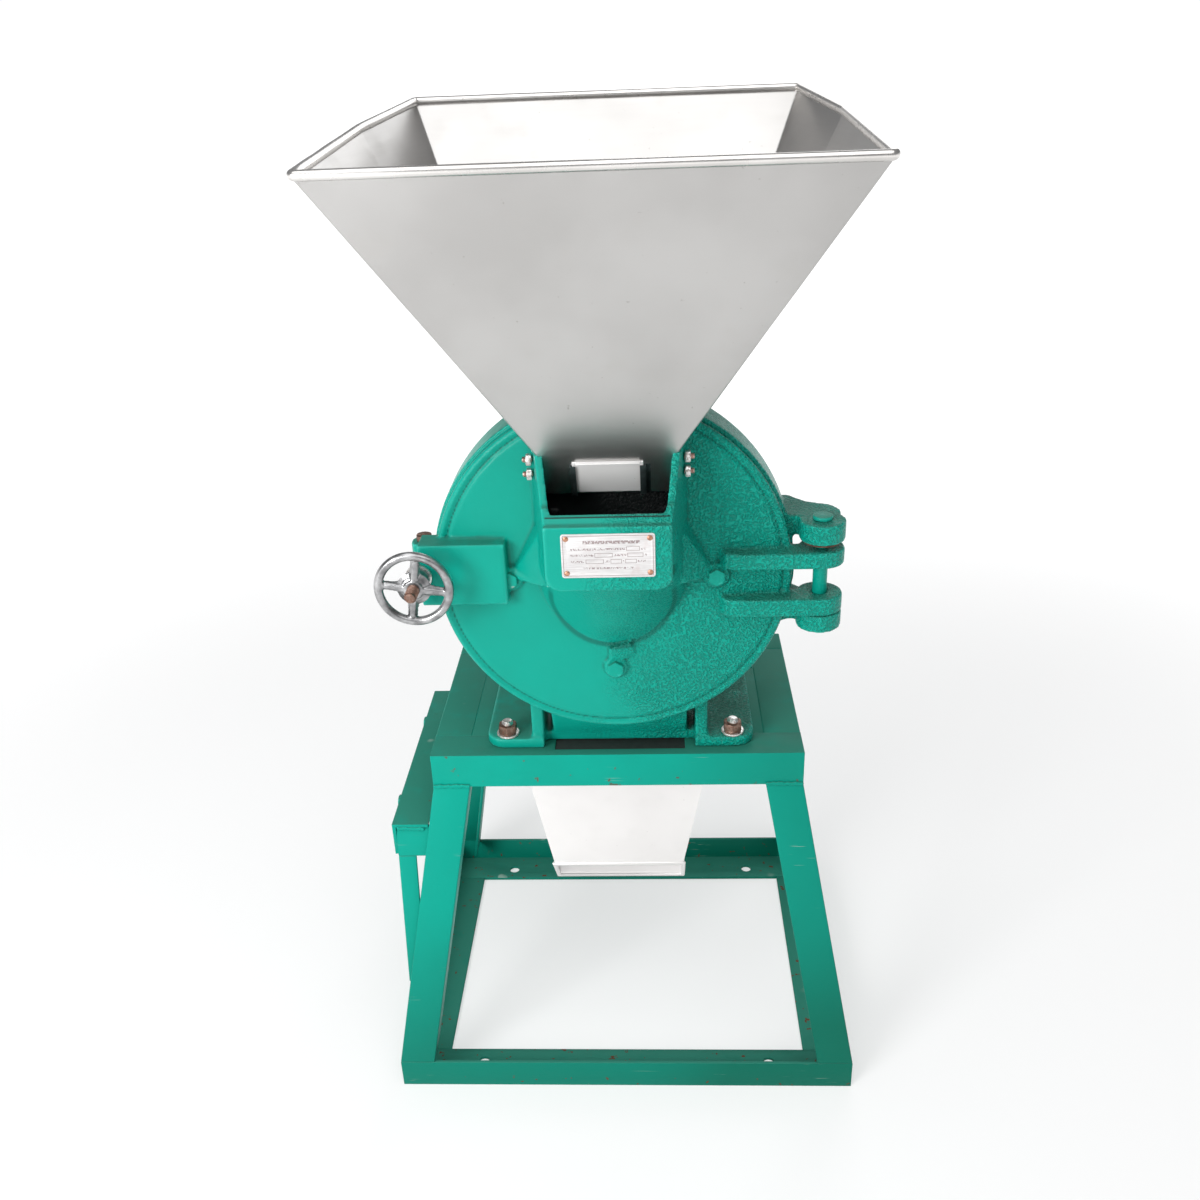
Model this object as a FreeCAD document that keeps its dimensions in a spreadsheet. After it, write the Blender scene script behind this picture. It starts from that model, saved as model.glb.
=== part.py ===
import FreeCAD, Part
import math
import os
import re

# Belt-driven claw mill on a welded angle-iron stand.
# Millimetres. The origin is on the floor, at the middle of the four floor bolts.
# The feed door faces -Y, the hinge is on the right (+X), and +Z is up.

V = FreeCAD.Vector
os.makedirs("parts", exist_ok=True)
doc = FreeCAD.newDocument("claw_mill")

# ---------------------------------------------------------------- driving dimensions
SIZES = {
    # stand
    "table_height": 424, "table_half_length": 200, "table_front": -147, "table_depth": 270,
    "iron_leg": 40, "iron_wall": 4, "deck_half_length": 160, "deck_back": 35,
    "base_half_length": 263.5, "base_half_depth": 209, "base_height": 36, "base_flange": 50,
    "floor_bolt_half_x": 171, "floor_bolt_half_y": 178, "floor_hole_radius": 7,
    "spout_half_width": 70, "spout_front": -136, "spout_back": -40,
    # motor rail beside the table
    "rail_outer": -250, "rail_top": 339, "rail_front": -154, "rail_back": 134,
    "arm_right": -200, "strut_width": 20, "strut_foot": 140, "rail_bolt_reach": 85,
    # mill axis and drum
    "axis_x": 4, "axis_z": 642, "drum_radius": 176, "drum_wall": 8,
    "drum_front": -150, "drum_back": -80, "drum_round": 28, "rear_wall": 10,
    "foot_height": 12, "foot_outer": 144, "foot_inner": 81, "foot_front": -134,
    "foot_back": 24, "foot_round": 20, "rib_width": 13,
    "foot_bolt_reach": 121, "foot_bolt_front": -122, "foot_bolt_back": 10,
    "foot_bolt_radius": 6, "neck_half_width": 72,
    # door
    "door_gap": 0.3, "door_radius": 166, "door_rim": 7, "door_face": -162,
    "door_nose": -166, "throat_radius": 60, "disc_bolt_circle": 100,
    # hinge
    "pin_x": 204, "pin_y": -158, "pin_radius": 7, "eye_radius": 22, "pin_fit": 0.05,
    "top_lug_low": 675, "top_lug_high": 695, "top_arm_low": 652, "top_arm_high": 668,
    "low_arm_low": 602, "low_arm_high": 620, "low_lug_low": 584, "low_lug_high": 601.5,
    # clamp
    "clamp_x": -181.5, "clamp_y": -137, "clamp_z": 652, "stud_radius": 6, "stud_end": -228,
    "ear_front": -180, "ear_height": 63, "ear_inner": -97, "wheel_radius": 38,
    "wheel_grip": 4.6, "wheel_plane": -207, "clamp_pin_radius": 5,
    # shaft and bearings
    "shaft_radius": 17.5, "seat_radius": 15, "housing_radius": 50, "housing_back": 66,
    "race_radius": 36, "race_width": 17, "front_bearing": -78, "back_bearing": 45,
    "ball_radius": 5.5, "ball_circle": 26.75, "pulley_radius": 75, "pulley_front": 100,
    "pulley_width": 62, "groove_pitch": 19, "groove_depth": 13, "groove_mouth": 16,
    "shaft_end": 188,
    # grinding discs
    "rotor_radius": 114, "rotor_front": -108, "rotor_thick": 10, "claw_tip": -134,
    "fixed_radius": 118, "fixed_thick": 9, "fixed_bore": 50, "fixed_tip": -118,
    "claw_depth": 10, "screen_radius": 125, "screen_wall": 1.2, "screen_back": -90.5,
    "screen_front": -146,
    # feed box on the door, hopper, gate and spout
    "box_front": -242, "box_front_half": 57, "box_door_half": 72, "box_front_z": 725,
    "box_wall": 7, "box_lip": 741, "box_top": 779, "pad_low": 666, "pad_high": 728,
    "pad_proud": 6, "plate_width": 83, "plate_height": 42, "sheet": 1.2,
    "neck_low": 735, "neck_fold": 770, "fold_front": -196, "neck_half": 57.5, "neck_back": -168.5,
    "waist_z": 825, "rim_front_y": -322, "rim_front_z": 1031, "rim_front_half": 211,
    "rim_side_y": -112, "rim_side_half": 207,
    "rim_back_y": 48, "rim_back_z": 1060, "rim_back_half": 187, "wire_radius": 4.5,
    "hopper_bolt_y": -180.5, "hopper_bolt_low": 754, "hopper_bolt_high": 768,
    "nut_seat": 69.8, "gate_half": 32, "gate_length": 40,
    "chute_top_half": 98, "chute_low_half": 81, "chute_low_front": -112,
    "chute_front_z": 250, "chute_low_back": -74, "chute_back_z": 203,
}
sheet = doc.addObject("Spreadsheet::Sheet", "Size")
for row, (alias, value) in enumerate(SIZES.items(), start=1):
    sheet.set(f"A{row}", alias.replace("_", " "))
    sheet.set(f"B{row}", str(value))
    sheet.setAlias(f"B{row}", alias)
doc.recompute()


def size(formula):
    """Value in millimetres of a formula written in the sheet's aliases."""
    names = {alias: sheet.get(alias) for alias in re.findall(r"[a-z]\w*", formula)}
    for alias in sorted(names, key=len, reverse=True):
        formula = re.sub(rf"\b{alias}\b", f"({names[alias]})", formula)
    return FreeCAD.Units.Quantity(formula).Value


def bind(item, **formulas):
    """Tie an object's sizes to the sheet; a plain number is bound as it is."""
    for prop, formula in formulas.items():
        text = re.sub(r"[a-z]\w*", lambda found: "Size." + found[0], str(formula))
        item.setExpression(prop.replace("_", "."), text)
    return item


TURNED = {"X": FreeCAD.Rotation(V(0, 1, 0), 90), "Y": FreeCAD.Rotation(V(1, 0, 0), -90),
          "Z": FreeCAD.Rotation()}
nodes = []


def named(item, label):
    """Mark an object as a finished sub-part and give it its own name."""
    item.Label = label
    nodes.append(item)
    return item


def at(item, x, y, z):
    return bind(item, Placement_Base_x=x, Placement_Base_y=y, Placement_Base_z=z)


def box(x, y, z, length, width, height):
    """Block from its lowest corner."""
    item = doc.addObject("Part::Box", "Block")
    return at(bind(item, Length=length, Width=width, Height=height), x, y, z)


def rod(axis, x, y, z, radius, length):
    """Round bar from a start point along one axis."""
    item = doc.addObject("Part::Cylinder", "Rod")
    item.Placement.Rotation = TURNED[axis]
    return at(bind(item, Radius=radius, Height=length), x, y, z)


def cone(axis, x, y, z, radius, end_radius, length):
    item = doc.addObject("Part::Cone", "Cone")
    item.Placement.Rotation = TURNED[axis]
    return at(bind(item, Radius1=radius, Radius2=end_radius, Height=length), x, y, z)


def ball(x, y, z, radius):
    return at(bind(doc.addObject("Part::Sphere", "Ball"), Radius=radius), x, y, z)


def hexagon(axis, x, y, z, corner_radius, length):
    """Hexagon bar, as in a nut or a bolt head."""
    item = doc.addObject("Part::Prism", "Hexagon")
    item.Polygon = 6
    item.Placement.Rotation = TURNED[axis]
    return at(bind(item, Circumradius=corner_radius, Height=length), x, y, z)


def fuse(*items):
    item = doc.addObject("Part::MultiFuse", "Joined")
    item.Shapes = list(items)
    return item


def cut(base, *tools):
    item = doc.addObject("Part::Cut", "Trimmed")
    item.Base = base
    item.Tool = tools[0] if len(tools) == 1 else fuse(*tools)
    return item


def group(*items):
    """Loose pieces of one kind that share a node."""
    item = doc.addObject("Part::Compound", "Set")
    item.Links = list(items)
    return item


def shaped(shape):
    """A shape that neither a body nor a primitive gives, such as a folded sheet."""
    item = doc.addObject("Part::Feature", "Shaped")
    item.Shape = shape
    return item


def outline(points):
    return Part.makePolygon([V(*point) for point in points] + [V(*points[0])])


def ruled(*sections):
    """Solid between closed outlines, with straight lines from one to the next."""
    return Part.makeLoft([outline(section) for section in sections], True, True)


def faceted(*sections):
    """Solid of flat panels between closed outlines; each side panel is two triangles."""
    panels = [Part.Face(outline(sections[0])), Part.Face(outline(sections[-1]))]
    for lower, upper in zip(sections, sections[1:]):
        for index in range(len(lower)):
            after = (index + 1) % len(lower)
            for corners in ((lower[index], lower[after], upper[after]),
                            (lower[index], upper[after], upper[index])):
                panels.append(Part.Face(outline(corners)))
    solid = Part.Solid(Part.makeShell(panels))
    if solid.Volume < 0:
        solid.reverse()
    return solid


def prism(points, direction):
    """Solid drawn from a flat outline along a vector."""
    return Part.Face(outline(points)).extrude(V(*direction))


def ring(radius, inner, y, width):
    """Plain ring about the mill axis."""
    return cut(rod("Y", "axis_x", y, "axis_z", radius, width),
               rod("Y", "axis_x", f"{y} - 1", "axis_z", inner, f"{width} + 2"))


# ---------------------------------------------------------------- stand
def angle_iron(label, flat, upright, holes=()):
    """Angle iron laid along an axis: a flat flange and an upright flange."""
    item = fuse(box(*flat), box(*upright))
    named(cut(item, *holes) if holes else item, label)


under_table = "table_height - iron_wall"
skirt = ("table_height - iron_leg", "iron_leg - iron_wall")
feet_at = [(sign, y) for sign in (-1, 1) for y in ("foot_bolt_front", "foot_bolt_back")]


def stud_hole(sign, y):
    x = f"axis_x + {sign} * foot_bolt_reach"
    return rod("Z", x, y, "table_height - 20", "foot_bolt_radius + 0.5", 50)


spout_hole = box("axis_x - spout_half_width", "spout_front", "table_height - 10",
                 "2 * spout_half_width", "spout_back - spout_front", 20)
angle_iron("table_front_angle",
           ("-table_half_length", "table_front", under_table,
            "2 * table_half_length", "iron_leg", "iron_wall"),
           ("-table_half_length", "table_front", skirt[0],
            "2 * table_half_length", "iron_wall", skirt[1]),
           [spout_hole, stud_hole(-1, "foot_bolt_front"), stud_hole(1, "foot_bolt_front")])
table_back = "table_front + table_depth"
angle_iron("table_back_angle",
           ("-table_half_length", f"{table_back} - iron_leg", under_table,
            "2 * table_half_length", "iron_leg", "iron_wall"),
           ("-table_half_length", f"{table_back} - iron_wall", skirt[0],
            "2 * table_half_length", "iron_wall", skirt[1]))
for side, flat_x, upright_x in (
        ("left", "-table_half_length", "-table_half_length"),
        ("right", "table_half_length - iron_leg", "table_half_length - iron_wall")):
    angle_iron(f"table_{side}_angle",
               (flat_x, "table_front + iron_leg", under_table,
                "iron_leg", "table_depth - 2 * iron_leg", "iron_wall"),
               (upright_x, "table_front + iron_wall", skirt[0],
                "iron_wall", "table_depth - 2 * iron_wall", skirt[1]))

deck = box("-deck_half_length", "table_front + iron_leg", under_table,
           "2 * deck_half_length", "deck_back - table_front - iron_leg", "iron_wall")
deck_hole = box("axis_x - spout_half_width", "spout_front", "table_height - 10",
                "2 * spout_half_width", "spout_back - spout_front", 20)
named(cut(deck, deck_hole, stud_hole(-1, "foot_bolt_back"), stud_hole(1, "foot_bolt_back")),
      "deck_plate")

for end, front_y, upright_y in (
        ("front", "-base_half_depth", "-base_half_depth"),
        ("back", "base_half_depth - base_flange", "base_half_depth - iron_wall")):
    hole_sign = -1 if end == "front" else 1
    angle_iron(f"base_{end}_angle",
               ("-base_half_length", front_y, 0, "2 * base_half_length", "base_flange",
                "iron_wall"),
               ("-base_half_length", upright_y, "iron_wall", "2 * base_half_length",
                "iron_wall", "base_height - iron_wall"),
               [rod("Z", f"{sign} * floor_bolt_half_x", f"{hole_sign} * floor_bolt_half_y",
                    -1, "floor_hole_radius", 10) for sign in (-1, 1)])
for side, flat_x, upright_x in (
        ("left", "-base_half_length", "-base_half_length"),
        ("right", "base_half_length - base_flange", "base_half_length - iron_wall")):
    angle_iron(f"base_{side}_angle",
               (flat_x, "base_flange - base_half_depth", 0,
                "base_flange", "2 * base_half_depth - 2 * base_flange", "iron_wall"),
               (upright_x, "iron_wall - base_half_depth", "iron_wall",
                "iron_wall", "2 * base_half_depth - 2 * iron_wall",
                "base_height - iron_wall"))

LEG_TOP = size("table_height - iron_leg")
LEG_FOOT = size("base_height")
LEG_REACH = size("iron_leg")
WALL = size("iron_wall")


def leg_corner(side, end, height):
    """Outer corner of a splayed leg at a height."""
    rise = (height - LEG_FOOT) / (LEG_TOP - LEG_FOOT)
    half = size("base_half_length") + rise * size("table_half_length - base_half_length")
    low_y = end * size("base_half_depth")
    top_y = size("table_front") if end < 0 else size("table_front + table_depth")
    return side * half, low_y + rise * (top_y - low_y)


def leg_section(side, end, height):
    """Angle-iron section: one flange across, the other running inward from its inner edge."""
    x, y = leg_corner(side, end, height)
    inner = x - side * LEG_REACH
    web = inner + side * WALL
    face = y - end * WALL
    deep = y - end * LEG_REACH
    return [(px, py, height) for px, py in (
        (x, y), (inner, y), (inner, deep), (web, deep), (web, face), (x, face))]


for end_name, end in (("front", -1), ("back", 1)):
    for side_name, side in (("left", -1), ("right", 1)):
        leg = ruled(leg_section(side, end, LEG_FOOT), leg_section(side, end, LEG_TOP))
        named(shaped(leg), f"{end_name}_{side_name}_leg")

# The motor rail is one more angle, carried beside the left legs on two arms and two struts.
rail_length = "rail_back - rail_front"
rail_bolt_z = "rail_top - iron_leg / 2"
angle_iron("motor_rail",
           ("rail_outer", "rail_front", "rail_top - iron_wall", "iron_leg", rail_length,
            "iron_wall"),
           ("rail_outer", "rail_front", "rail_top - iron_leg", "iron_wall", rail_length,
            "iron_leg - iron_wall"),
           [rod("X", "rail_outer - 5", f"{sign} * rail_bolt_reach", rail_bolt_z, 5.2, 20)
            for sign in (-1, 1)])


def flat_bar(bottom, top, width, end):
    """Flat bar standing across X, from a left bottom corner to a left top corner."""
    def section(corner):
        x, y, z = corner
        return [(x, y, z), (x + width, y, z), (x + width, y - end * WALL, z),
                (x, y - end * WALL, z)]
    return ruled(section(bottom), section(top))


for end_name, end in (("front", -1), ("back", 1)):
    rail_low = size("rail_top - iron_leg")
    under_rail = size("rail_top - iron_wall")
    arm_left = size("rail_outer + iron_wall")
    inside_leg = [leg_corner(-1, end, height)[1] - end * (WALL + 0.05)
                  for height in (size("strut_foot"), rail_low, under_rail)]
    arm = flat_bar((arm_left, inside_leg[1], rail_low), (arm_left, inside_leg[2], under_rail),
                   size("arm_right") - arm_left, end)
    named(shaped(arm), f"{end_name}_rail_arm")
    strut = flat_bar((arm_left, inside_leg[0], size("strut_foot")),
                     (arm_left, inside_leg[1], rail_low), size("strut_width"), end)
    named(shaped(strut), f"{end_name}_rail_strut")


def hex_bolt(axis, x, y, z, head_corner, head_length, radius, length):
    """Bolt with its head first, at the start point, and its shank along the axis."""
    across = {"X": (f"{x} + {head_length}", y, z), "Y": (x, f"{y} + {head_length}", z),
              "Z": (x, y, f"{z} + {head_length}")}[axis]
    return fuse(hexagon(axis, x, y, z, head_corner, head_length),
                rod(axis, *across, radius, length))


named(group(*[hex_bolt("X", "rail_outer - 7", f"{sign} * rail_bolt_reach", rail_bolt_z,
                       9, 7, 5, 20) for sign in (-1, 1)]), "rail_bolts")

# ---------------------------------------------------------------- mill casing
AXIS_X = size("axis_x")
AXIS_Z = size("axis_z")
drum_depth = "drum_back - drum_front"
drum_bar = rod("Y", "axis_x", "drum_front", "axis_z", "drum_radius", drum_depth)
doc.recompute()
drum = doc.addObject("Part::Fillet", "Drum")
drum.Base = drum_bar
rear_edge = [number for number, edge in enumerate(drum_bar.Shape.Edges, start=1)
             if abs(edge.BoundBox.YMin - size("drum_back")) < 0.1
             and abs(edge.BoundBox.YMax - size("drum_back")) < 0.1]
drum.Edges = [(number, size("drum_round"), size("drum_round")) for number in rear_edge]

foot_bars = []
for sign in (-1, 1):
    foot_x = "axis_x - foot_outer" if sign < 0 else "axis_x + foot_inner"
    foot_bar = box(foot_x, "foot_front", "table_height",
                   "foot_outer - foot_inner", "foot_back - foot_front", "foot_height")
    doc.recompute()
    outer_x = AXIS_X + sign * size("foot_outer")
    upright = [number for number, edge in enumerate(foot_bar.Shape.Edges, start=1)
               if abs(edge.CenterOfMass.x - outer_x) < 0.1
               and abs(edge.BoundBox.ZLength - size("foot_height")) < 0.1]
    foot = doc.addObject("Part::Fillet", "Foot")
    foot.Base = foot_bar
    foot.Edges = [(number, size("foot_round"), size("foot_round")) for number in upright]
    foot_bars.append(foot)
    rib_x = "axis_x - foot_inner - rib_width" if sign < 0 else "axis_x + foot_inner"
    foot_bars.append(box(rib_x, "foot_front + 4", "table_height + foot_height", "rib_width",
                         "drum_back - foot_front - 4", 66))
    gusset_x = size(rib_x)
    gusset = prism([(gusset_x, size("drum_back") - 2, size("table_height + foot_height")),
                    (gusset_x, size("foot_back") - 4, size("table_height + foot_height")),
                    (gusset_x, size("drum_back") - 2, 520)], (size("rib_width"), 0, 0))
    foot_bars.append(shaped(gusset))

# The flour neck narrows from the bottom of the drum to a beam between the feet.


def neck(half_width, top, bottom):
    """Tapered neck between a top and a bottom span, each (front y, back y, z)."""
    sections = []
    for front, back, height in (bottom, top):
        sections.append([(AXIS_X - half_width, front, height),
                         (AXIS_X + half_width, front, height),
                         (AXIS_X + half_width, back, height),
                         (AXIS_X - half_width, back, height)])
    return ruled(*sections)


beam = box("axis_x - foot_inner - 2", -118, "table_height", "2 * foot_inner + 4", 42, 11)
neck_outside = shaped(neck(size("neck_half_width"), (-147, -84, 492), (-116, -80, 430)))
neck_passage = shaped(neck(size("neck_half_width - 8"), (-140, -92, 500), (-110, -84, 423)))


def lug(low, high, outline_points, eye_x, eye_y, eye_radius):
    """Cast lug: a flat tongue that ends in a round eye."""
    tongue = prism([(x, y, size(low)) for x, y in outline_points],
                   (0, 0, size(high) - size(low)))
    eye = rod("Z", eye_x, eye_y, low, eye_radius, f"({high}) - ({low})")
    return fuse(shaped(tongue), eye)


HINGE_TONGUE = [(140, -149), (184, -149), (190, -172), (222, -145), (178, -92), (140, -92)]
CLAMP_TONGUE = [(-191, -148), (-140, -148), (-140, -124), (-191, -124)]
lugs = [
    lug("top_lug_low", "top_lug_high", HINGE_TONGUE, "pin_x", "pin_y", "eye_radius"),
    lug("low_lug_low", "low_lug_high", HINGE_TONGUE, "pin_x", "pin_y", "eye_radius"),
    lug("clamp_z + 7.5", "clamp_z + 20", CLAMP_TONGUE, "clamp_x", "clamp_y", 13),
    lug("clamp_z - 20", "clamp_z - 7.5", CLAMP_TONGUE, "clamp_x", "clamp_y", 13),
]
seal_ring = ring("drum_radius - 2", "drum_radius - 5.5", "drum_front", 3)
casing_rough = fuse(drum, *foot_bars, beam, neck_outside, *lugs)
cavity = rod("Y", "axis_x", "drum_front - 40", "axis_z", "drum_radius - drum_wall",
             "drum_back - drum_front + 40 - rear_wall")
door_room = rod("Y", "axis_x", "drum_front - 40", "axis_z", "door_radius + 2", 40)
seal_groove = ring("drum_radius - 2", "drum_radius - 5.5", "drum_front - 1", 4)
casing_tools = [
    cavity, door_room, seal_groove, neck_passage,
    rod("Y", "axis_x", "drum_back - 40", "axis_z", 45, 80),
    rod("Z", "pin_x", "pin_y", "low_lug_low - 5", "pin_radius", 140),
    rod("Z", "clamp_x", "clamp_y", "clamp_z - 25", "clamp_pin_radius", 60),
]
for corner in range(4):
    turn = math.radians(45 + 90 * corner)
    casing_tools.append(rod("Y", f"axis_x + {60 * math.cos(turn):.4f}", "drum_back - 20",
                            f"axis_z + {60 * math.sin(turn):.4f}", 4.2, 40))
for sign, y in feet_at:
    casing_tools.append(rod("Z", f"axis_x + {sign} * foot_bolt_reach", y,
                            "table_height - 5", "foot_bolt_radius + 0.5", 30))
named(cut(casing_rough, *casing_tools), "mill_casing")
named(seal_ring, "door_seal")

foot_studs = []
foot_nuts = []
foot_washers = []
for sign, y in feet_at:
    x = f"axis_x + {sign} * foot_bolt_reach"
    foot_studs.append(hex_bolt("Z", x, y, "table_height - 12", 10.5, "8", "foot_bolt_radius",
                               44))
    foot_washers.append(cut(rod("Z", x, y, "table_height + foot_height", 12, 2.5),
                            rod("Z", x, y, "table_height", "foot_bolt_radius", 40)))
    foot_nuts.append(cut(hexagon("Z", x, y, "table_height + foot_height + 2.5", 10.5, 10),
                         rod("Z", x, y, "table_height", "foot_bolt_radius", 50)))
named(group(*foot_studs), "foot_bolts")
named(group(*foot_washers), "foot_washers")
named(group(*foot_nuts), "foot_nuts")

# ---------------------------------------------------------------- bearing housing and shaft
housing = fuse(rod("Y", "axis_x", "drum_back", "axis_z", "housing_radius + 22", 12),
               rod("Y", "axis_x", "drum_back - rear_wall", "axis_z", 45, 20),
               rod("Y", "axis_x", "drum_back", "axis_z", "housing_radius",
                   "housing_back - drum_back"))
housing_tools = [rod("Y", "axis_x", "drum_back - 20", "axis_z", "race_radius", 200)]
housing_bolts = []
for corner in range(4):
    turn = math.radians(45 + 90 * corner)
    x = f"axis_x + {60 * math.cos(turn):.4f}"
    z = f"axis_z + {60 * math.sin(turn):.4f}"
    housing_tools.append(rod("Y", x, "drum_back - 5", z, 5.2, 30))
    housing_bolts.append(fuse(hexagon("Y", x, "drum_back + 12", z, 8, 6),
                              rod("Y", x, "drum_back - rear_wall + 1", z, 4.2, 22)))
NIPPLES_AT = ("drum_back + 24", "back_bearing + 8")
for y in NIPPLES_AT:
    housing_tools.append(rod("Z", "axis_x", y, "axis_z", 3.05, 60))
named(cut(housing, *housing_tools), "bearing_housing")
named(group(*housing_bolts), "housing_bolts")
named(group(*[fuse(rod("Z", "axis_x", y, "axis_z + race_radius + 1", 3, 18),
                   hexagon("Z", "axis_x", y, "axis_z + housing_radius", 5, 5),
                   ball("axis_x", y, "axis_z + housing_radius + 7", 3.2))
              for y in NIPPLES_AT]), "grease_nipples")
named(ring("race_radius", "shaft_radius + 0.06", "drum_back - rear_wall + 1", 8), "shaft_seal")
named(ring("housing_radius", "seat_radius + 1.06", "housing_back", 6), "bearing_cover")
named(group(*[
    rod("Y", f"axis_x + {43 * math.cos(math.radians(turn)):.4f}", "housing_back + 6",
        f"axis_z + {43 * math.sin(math.radians(turn)):.4f}", 5, 4)
    for turn in (45, 135, 225, 315)]), "cover_screws")

outer_races = []
inner_races = []
balls = []
for start in ("front_bearing", "back_bearing"):
    middle = f"{start} + race_width / 2"
    grooves = []
    for index in range(2):
        groove = doc.addObject("Part::Torus", "Groove")
        groove.Placement.Rotation = TURNED["Y"]
        bind(groove, Radius1="ball_circle", Radius2="ball_radius + 0.05")
        grooves.append(at(groove, "axis_x", middle, "axis_z"))
    outer_races.append(cut(ring("race_radius", 31, start, "race_width"), grooves[0]))
    inner_races.append(cut(ring(22.5, "shaft_radius", start, "race_width"), grooves[1]))
    for index in range(9):
        turn = math.radians(40 * index)
        balls.append(ball(f"axis_x + ball_circle * {math.cos(turn):.5f}", middle,
                          f"axis_z + ball_circle * {math.sin(turn):.5f}", "ball_radius"))
named(group(*outer_races), "bearing_outer_races")
named(group(*inner_races), "bearing_inner_races")
named(group(*balls), "bearing_balls")

rotor_back = "rotor_front + rotor_thick"
shaft = fuse(rod("Y", "axis_x", f"{rotor_back} + 6", "axis_z", "shaft_radius",
                 "housing_back - rotor_front - rotor_thick - 6"),
             rod("Y", "axis_x", "housing_back - 2", "axis_z", "seat_radius + 1",
                 "pulley_front - housing_back + 2"),
             rod("Y", "axis_x", "pulley_front - 2", "axis_z", "seat_radius",
                 "pulley_width + 4"),
             rod("Y", "axis_x", "pulley_front", "axis_z", 12, "shaft_end - pulley_front"),
             rod("Y", "axis_x", "rotor_front", "axis_z", "seat_radius", 30),
             rod("Y", "axis_x", "rotor_front - 18", "axis_z", 10, 30))
key_seat = box("axis_x - 4", "pulley_front + 6", "axis_z + 11", 8, 50, 7)
named(cut(shaft, key_seat), "main_shaft")
named(box("axis_x - 4", "pulley_front + 6", "axis_z + 11", 8, 50, 7), "pulley_key")

pulley_bar = rod("Y", "axis_x", "pulley_front", "axis_z", "pulley_radius", "pulley_width")
pulley_tools = [rod("Y", "axis_x", "pulley_front - 5", "axis_z", "seat_radius", 90),
                box("axis_x - 4", "pulley_front - 5", "axis_z", 8, 90, 18)]
for index in (-1, 0, 1):
    middle = f"pulley_front + pulley_width / 2 + {index} * groove_pitch"
    for sign in (-1, 1):
        start = f"{middle} - groove_mouth / 2" if sign < 0 else middle
        outer = cone("Y", "axis_x", start, "axis_z",
                     "pulley_radius + 1" if sign < 0 else "pulley_radius - groove_depth - 2",
                     "pulley_radius - groove_depth - 2" if sign < 0 else "pulley_radius + 1",
                     "groove_mouth / 2")
        blank = rod("Y", "axis_x", start, "axis_z", "pulley_radius + 2", "groove_mouth / 2")
        floor = rod("Y", "axis_x", f"{start} - 1", "axis_z", "pulley_radius - groove_depth",
                    "groove_mouth / 2 + 2")
        pulley_tools.append(cut(blank, outer, floor))
for y, length in (("pulley_front - 1", "13"), ("pulley_front + pulley_width - 12", "13")):
    pulley_tools.append(cut(rod("Y", "axis_x", y, "axis_z", 52, length),
                            rod("Y", "axis_x", f"{y} - 1", "axis_z", 30, f"{length} + 2")))
named(cut(pulley_bar, *pulley_tools), "drive_pulley")
nut_y = "pulley_front + pulley_width + 2"
named(cut(fuse(rod("Y", "axis_x", nut_y, "axis_z", 22, 3),
               hexagon("Y", "axis_x", f"{nut_y} + 3", "axis_z", 20, 14)),
          rod("Y", "axis_x", f"{nut_y} - 5", "axis_z", 12, 40)), "pulley_nut")

# ---------------------------------------------------------------- grinding discs and screen


def claws(circle, count, start_y, end_y, width):
    """Ring of square claws standing off a disc, on a circle about the mill axis."""
    pieces = []
    low, high = sorted((start_y, end_y))
    for index in range(count):
        claw = Part.makeBox(size("claw_depth"), high - low, width,
                            V(circle - size("claw_depth") / 2, low, -width / 2))
        claw.rotate(V(0, 0, 0), V(0, 1, 0), 360 * index / count)
        claw.translate(V(AXIS_X, 0, AXIS_Z))
        pieces.append(shaped(claw))
    return pieces


claw_root = size("rotor_front") + 1
rotor_claws = (claws(106, 12, claw_root, size("claw_tip"), 16)
               + claws(70, 8, claw_root, size("claw_tip"), 14)
               + claws(40, 4, claw_root, size("claw_tip"), 12))
rotor_disc = fuse(rod("Y", "axis_x", "rotor_front", "axis_z", "rotor_radius", "rotor_thick"),
                  rod("Y", "axis_x", "rotor_front + 2", "axis_z", 26, "rotor_thick + 4"),
                  *rotor_claws)
named(cut(rotor_disc, rod("Y", "axis_x", "rotor_front - 20", "axis_z", "seat_radius", 60)),
      "rotor_disc")
named(cut(fuse(hexagon("Y", "axis_x", "rotor_front - 15", "axis_z", 17, 12),
               rod("Y", "axis_x", "rotor_front - 3", "axis_z", 20, 3)),
          rod("Y", "axis_x", "rotor_front - 30", "axis_z", 10, 60)), "rotor_nut")

door_back = "drum_front - door_gap"
fixed_root = size(f"{door_back} + fixed_thick") - 1
fixed_claws = (claws(89, 16, fixed_root, size("fixed_tip"), 12)
               + claws(55, 8, fixed_root, size("fixed_tip"), 12))
bolt_places = [("axis_x - disc_bolt_circle", "axis_z"), ("axis_x + disc_bolt_circle", "axis_z"),
               ("axis_x", "axis_z - disc_bolt_circle")]
sunk_screw = ("axis_x", "door_nose", "axis_z + disc_bolt_circle")
disc_plate = fuse(rod("Y", "axis_x", door_back, "axis_z", "fixed_radius", "fixed_thick"),
                  *fixed_claws)
disc_holes = [rod("Y", x, "drum_front - 30", z, 4.1, 60)
              for x, z in bolt_places + [(sunk_screw[0], sunk_screw[2])]]
named(cut(disc_plate, rod("Y", "axis_x", "drum_front - 20", "axis_z", "fixed_bore", 60),
          *disc_holes), "fixed_disc")
disc_bolts = [hex_bolt("Y", x, "door_nose - 6.5", z, 7.5, "6", 4,
                       "drum_front - door_nose + fixed_thick - 1") for x, z in bolt_places]
disc_bolts.append(fuse(cone("Y", *sunk_screw, 7.5, 4, 4),
                       rod("Y", *sunk_screw, 4, "drum_front - door_nose + fixed_thick - 1")))
named(group(*disc_bolts), "disc_bolts")

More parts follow.
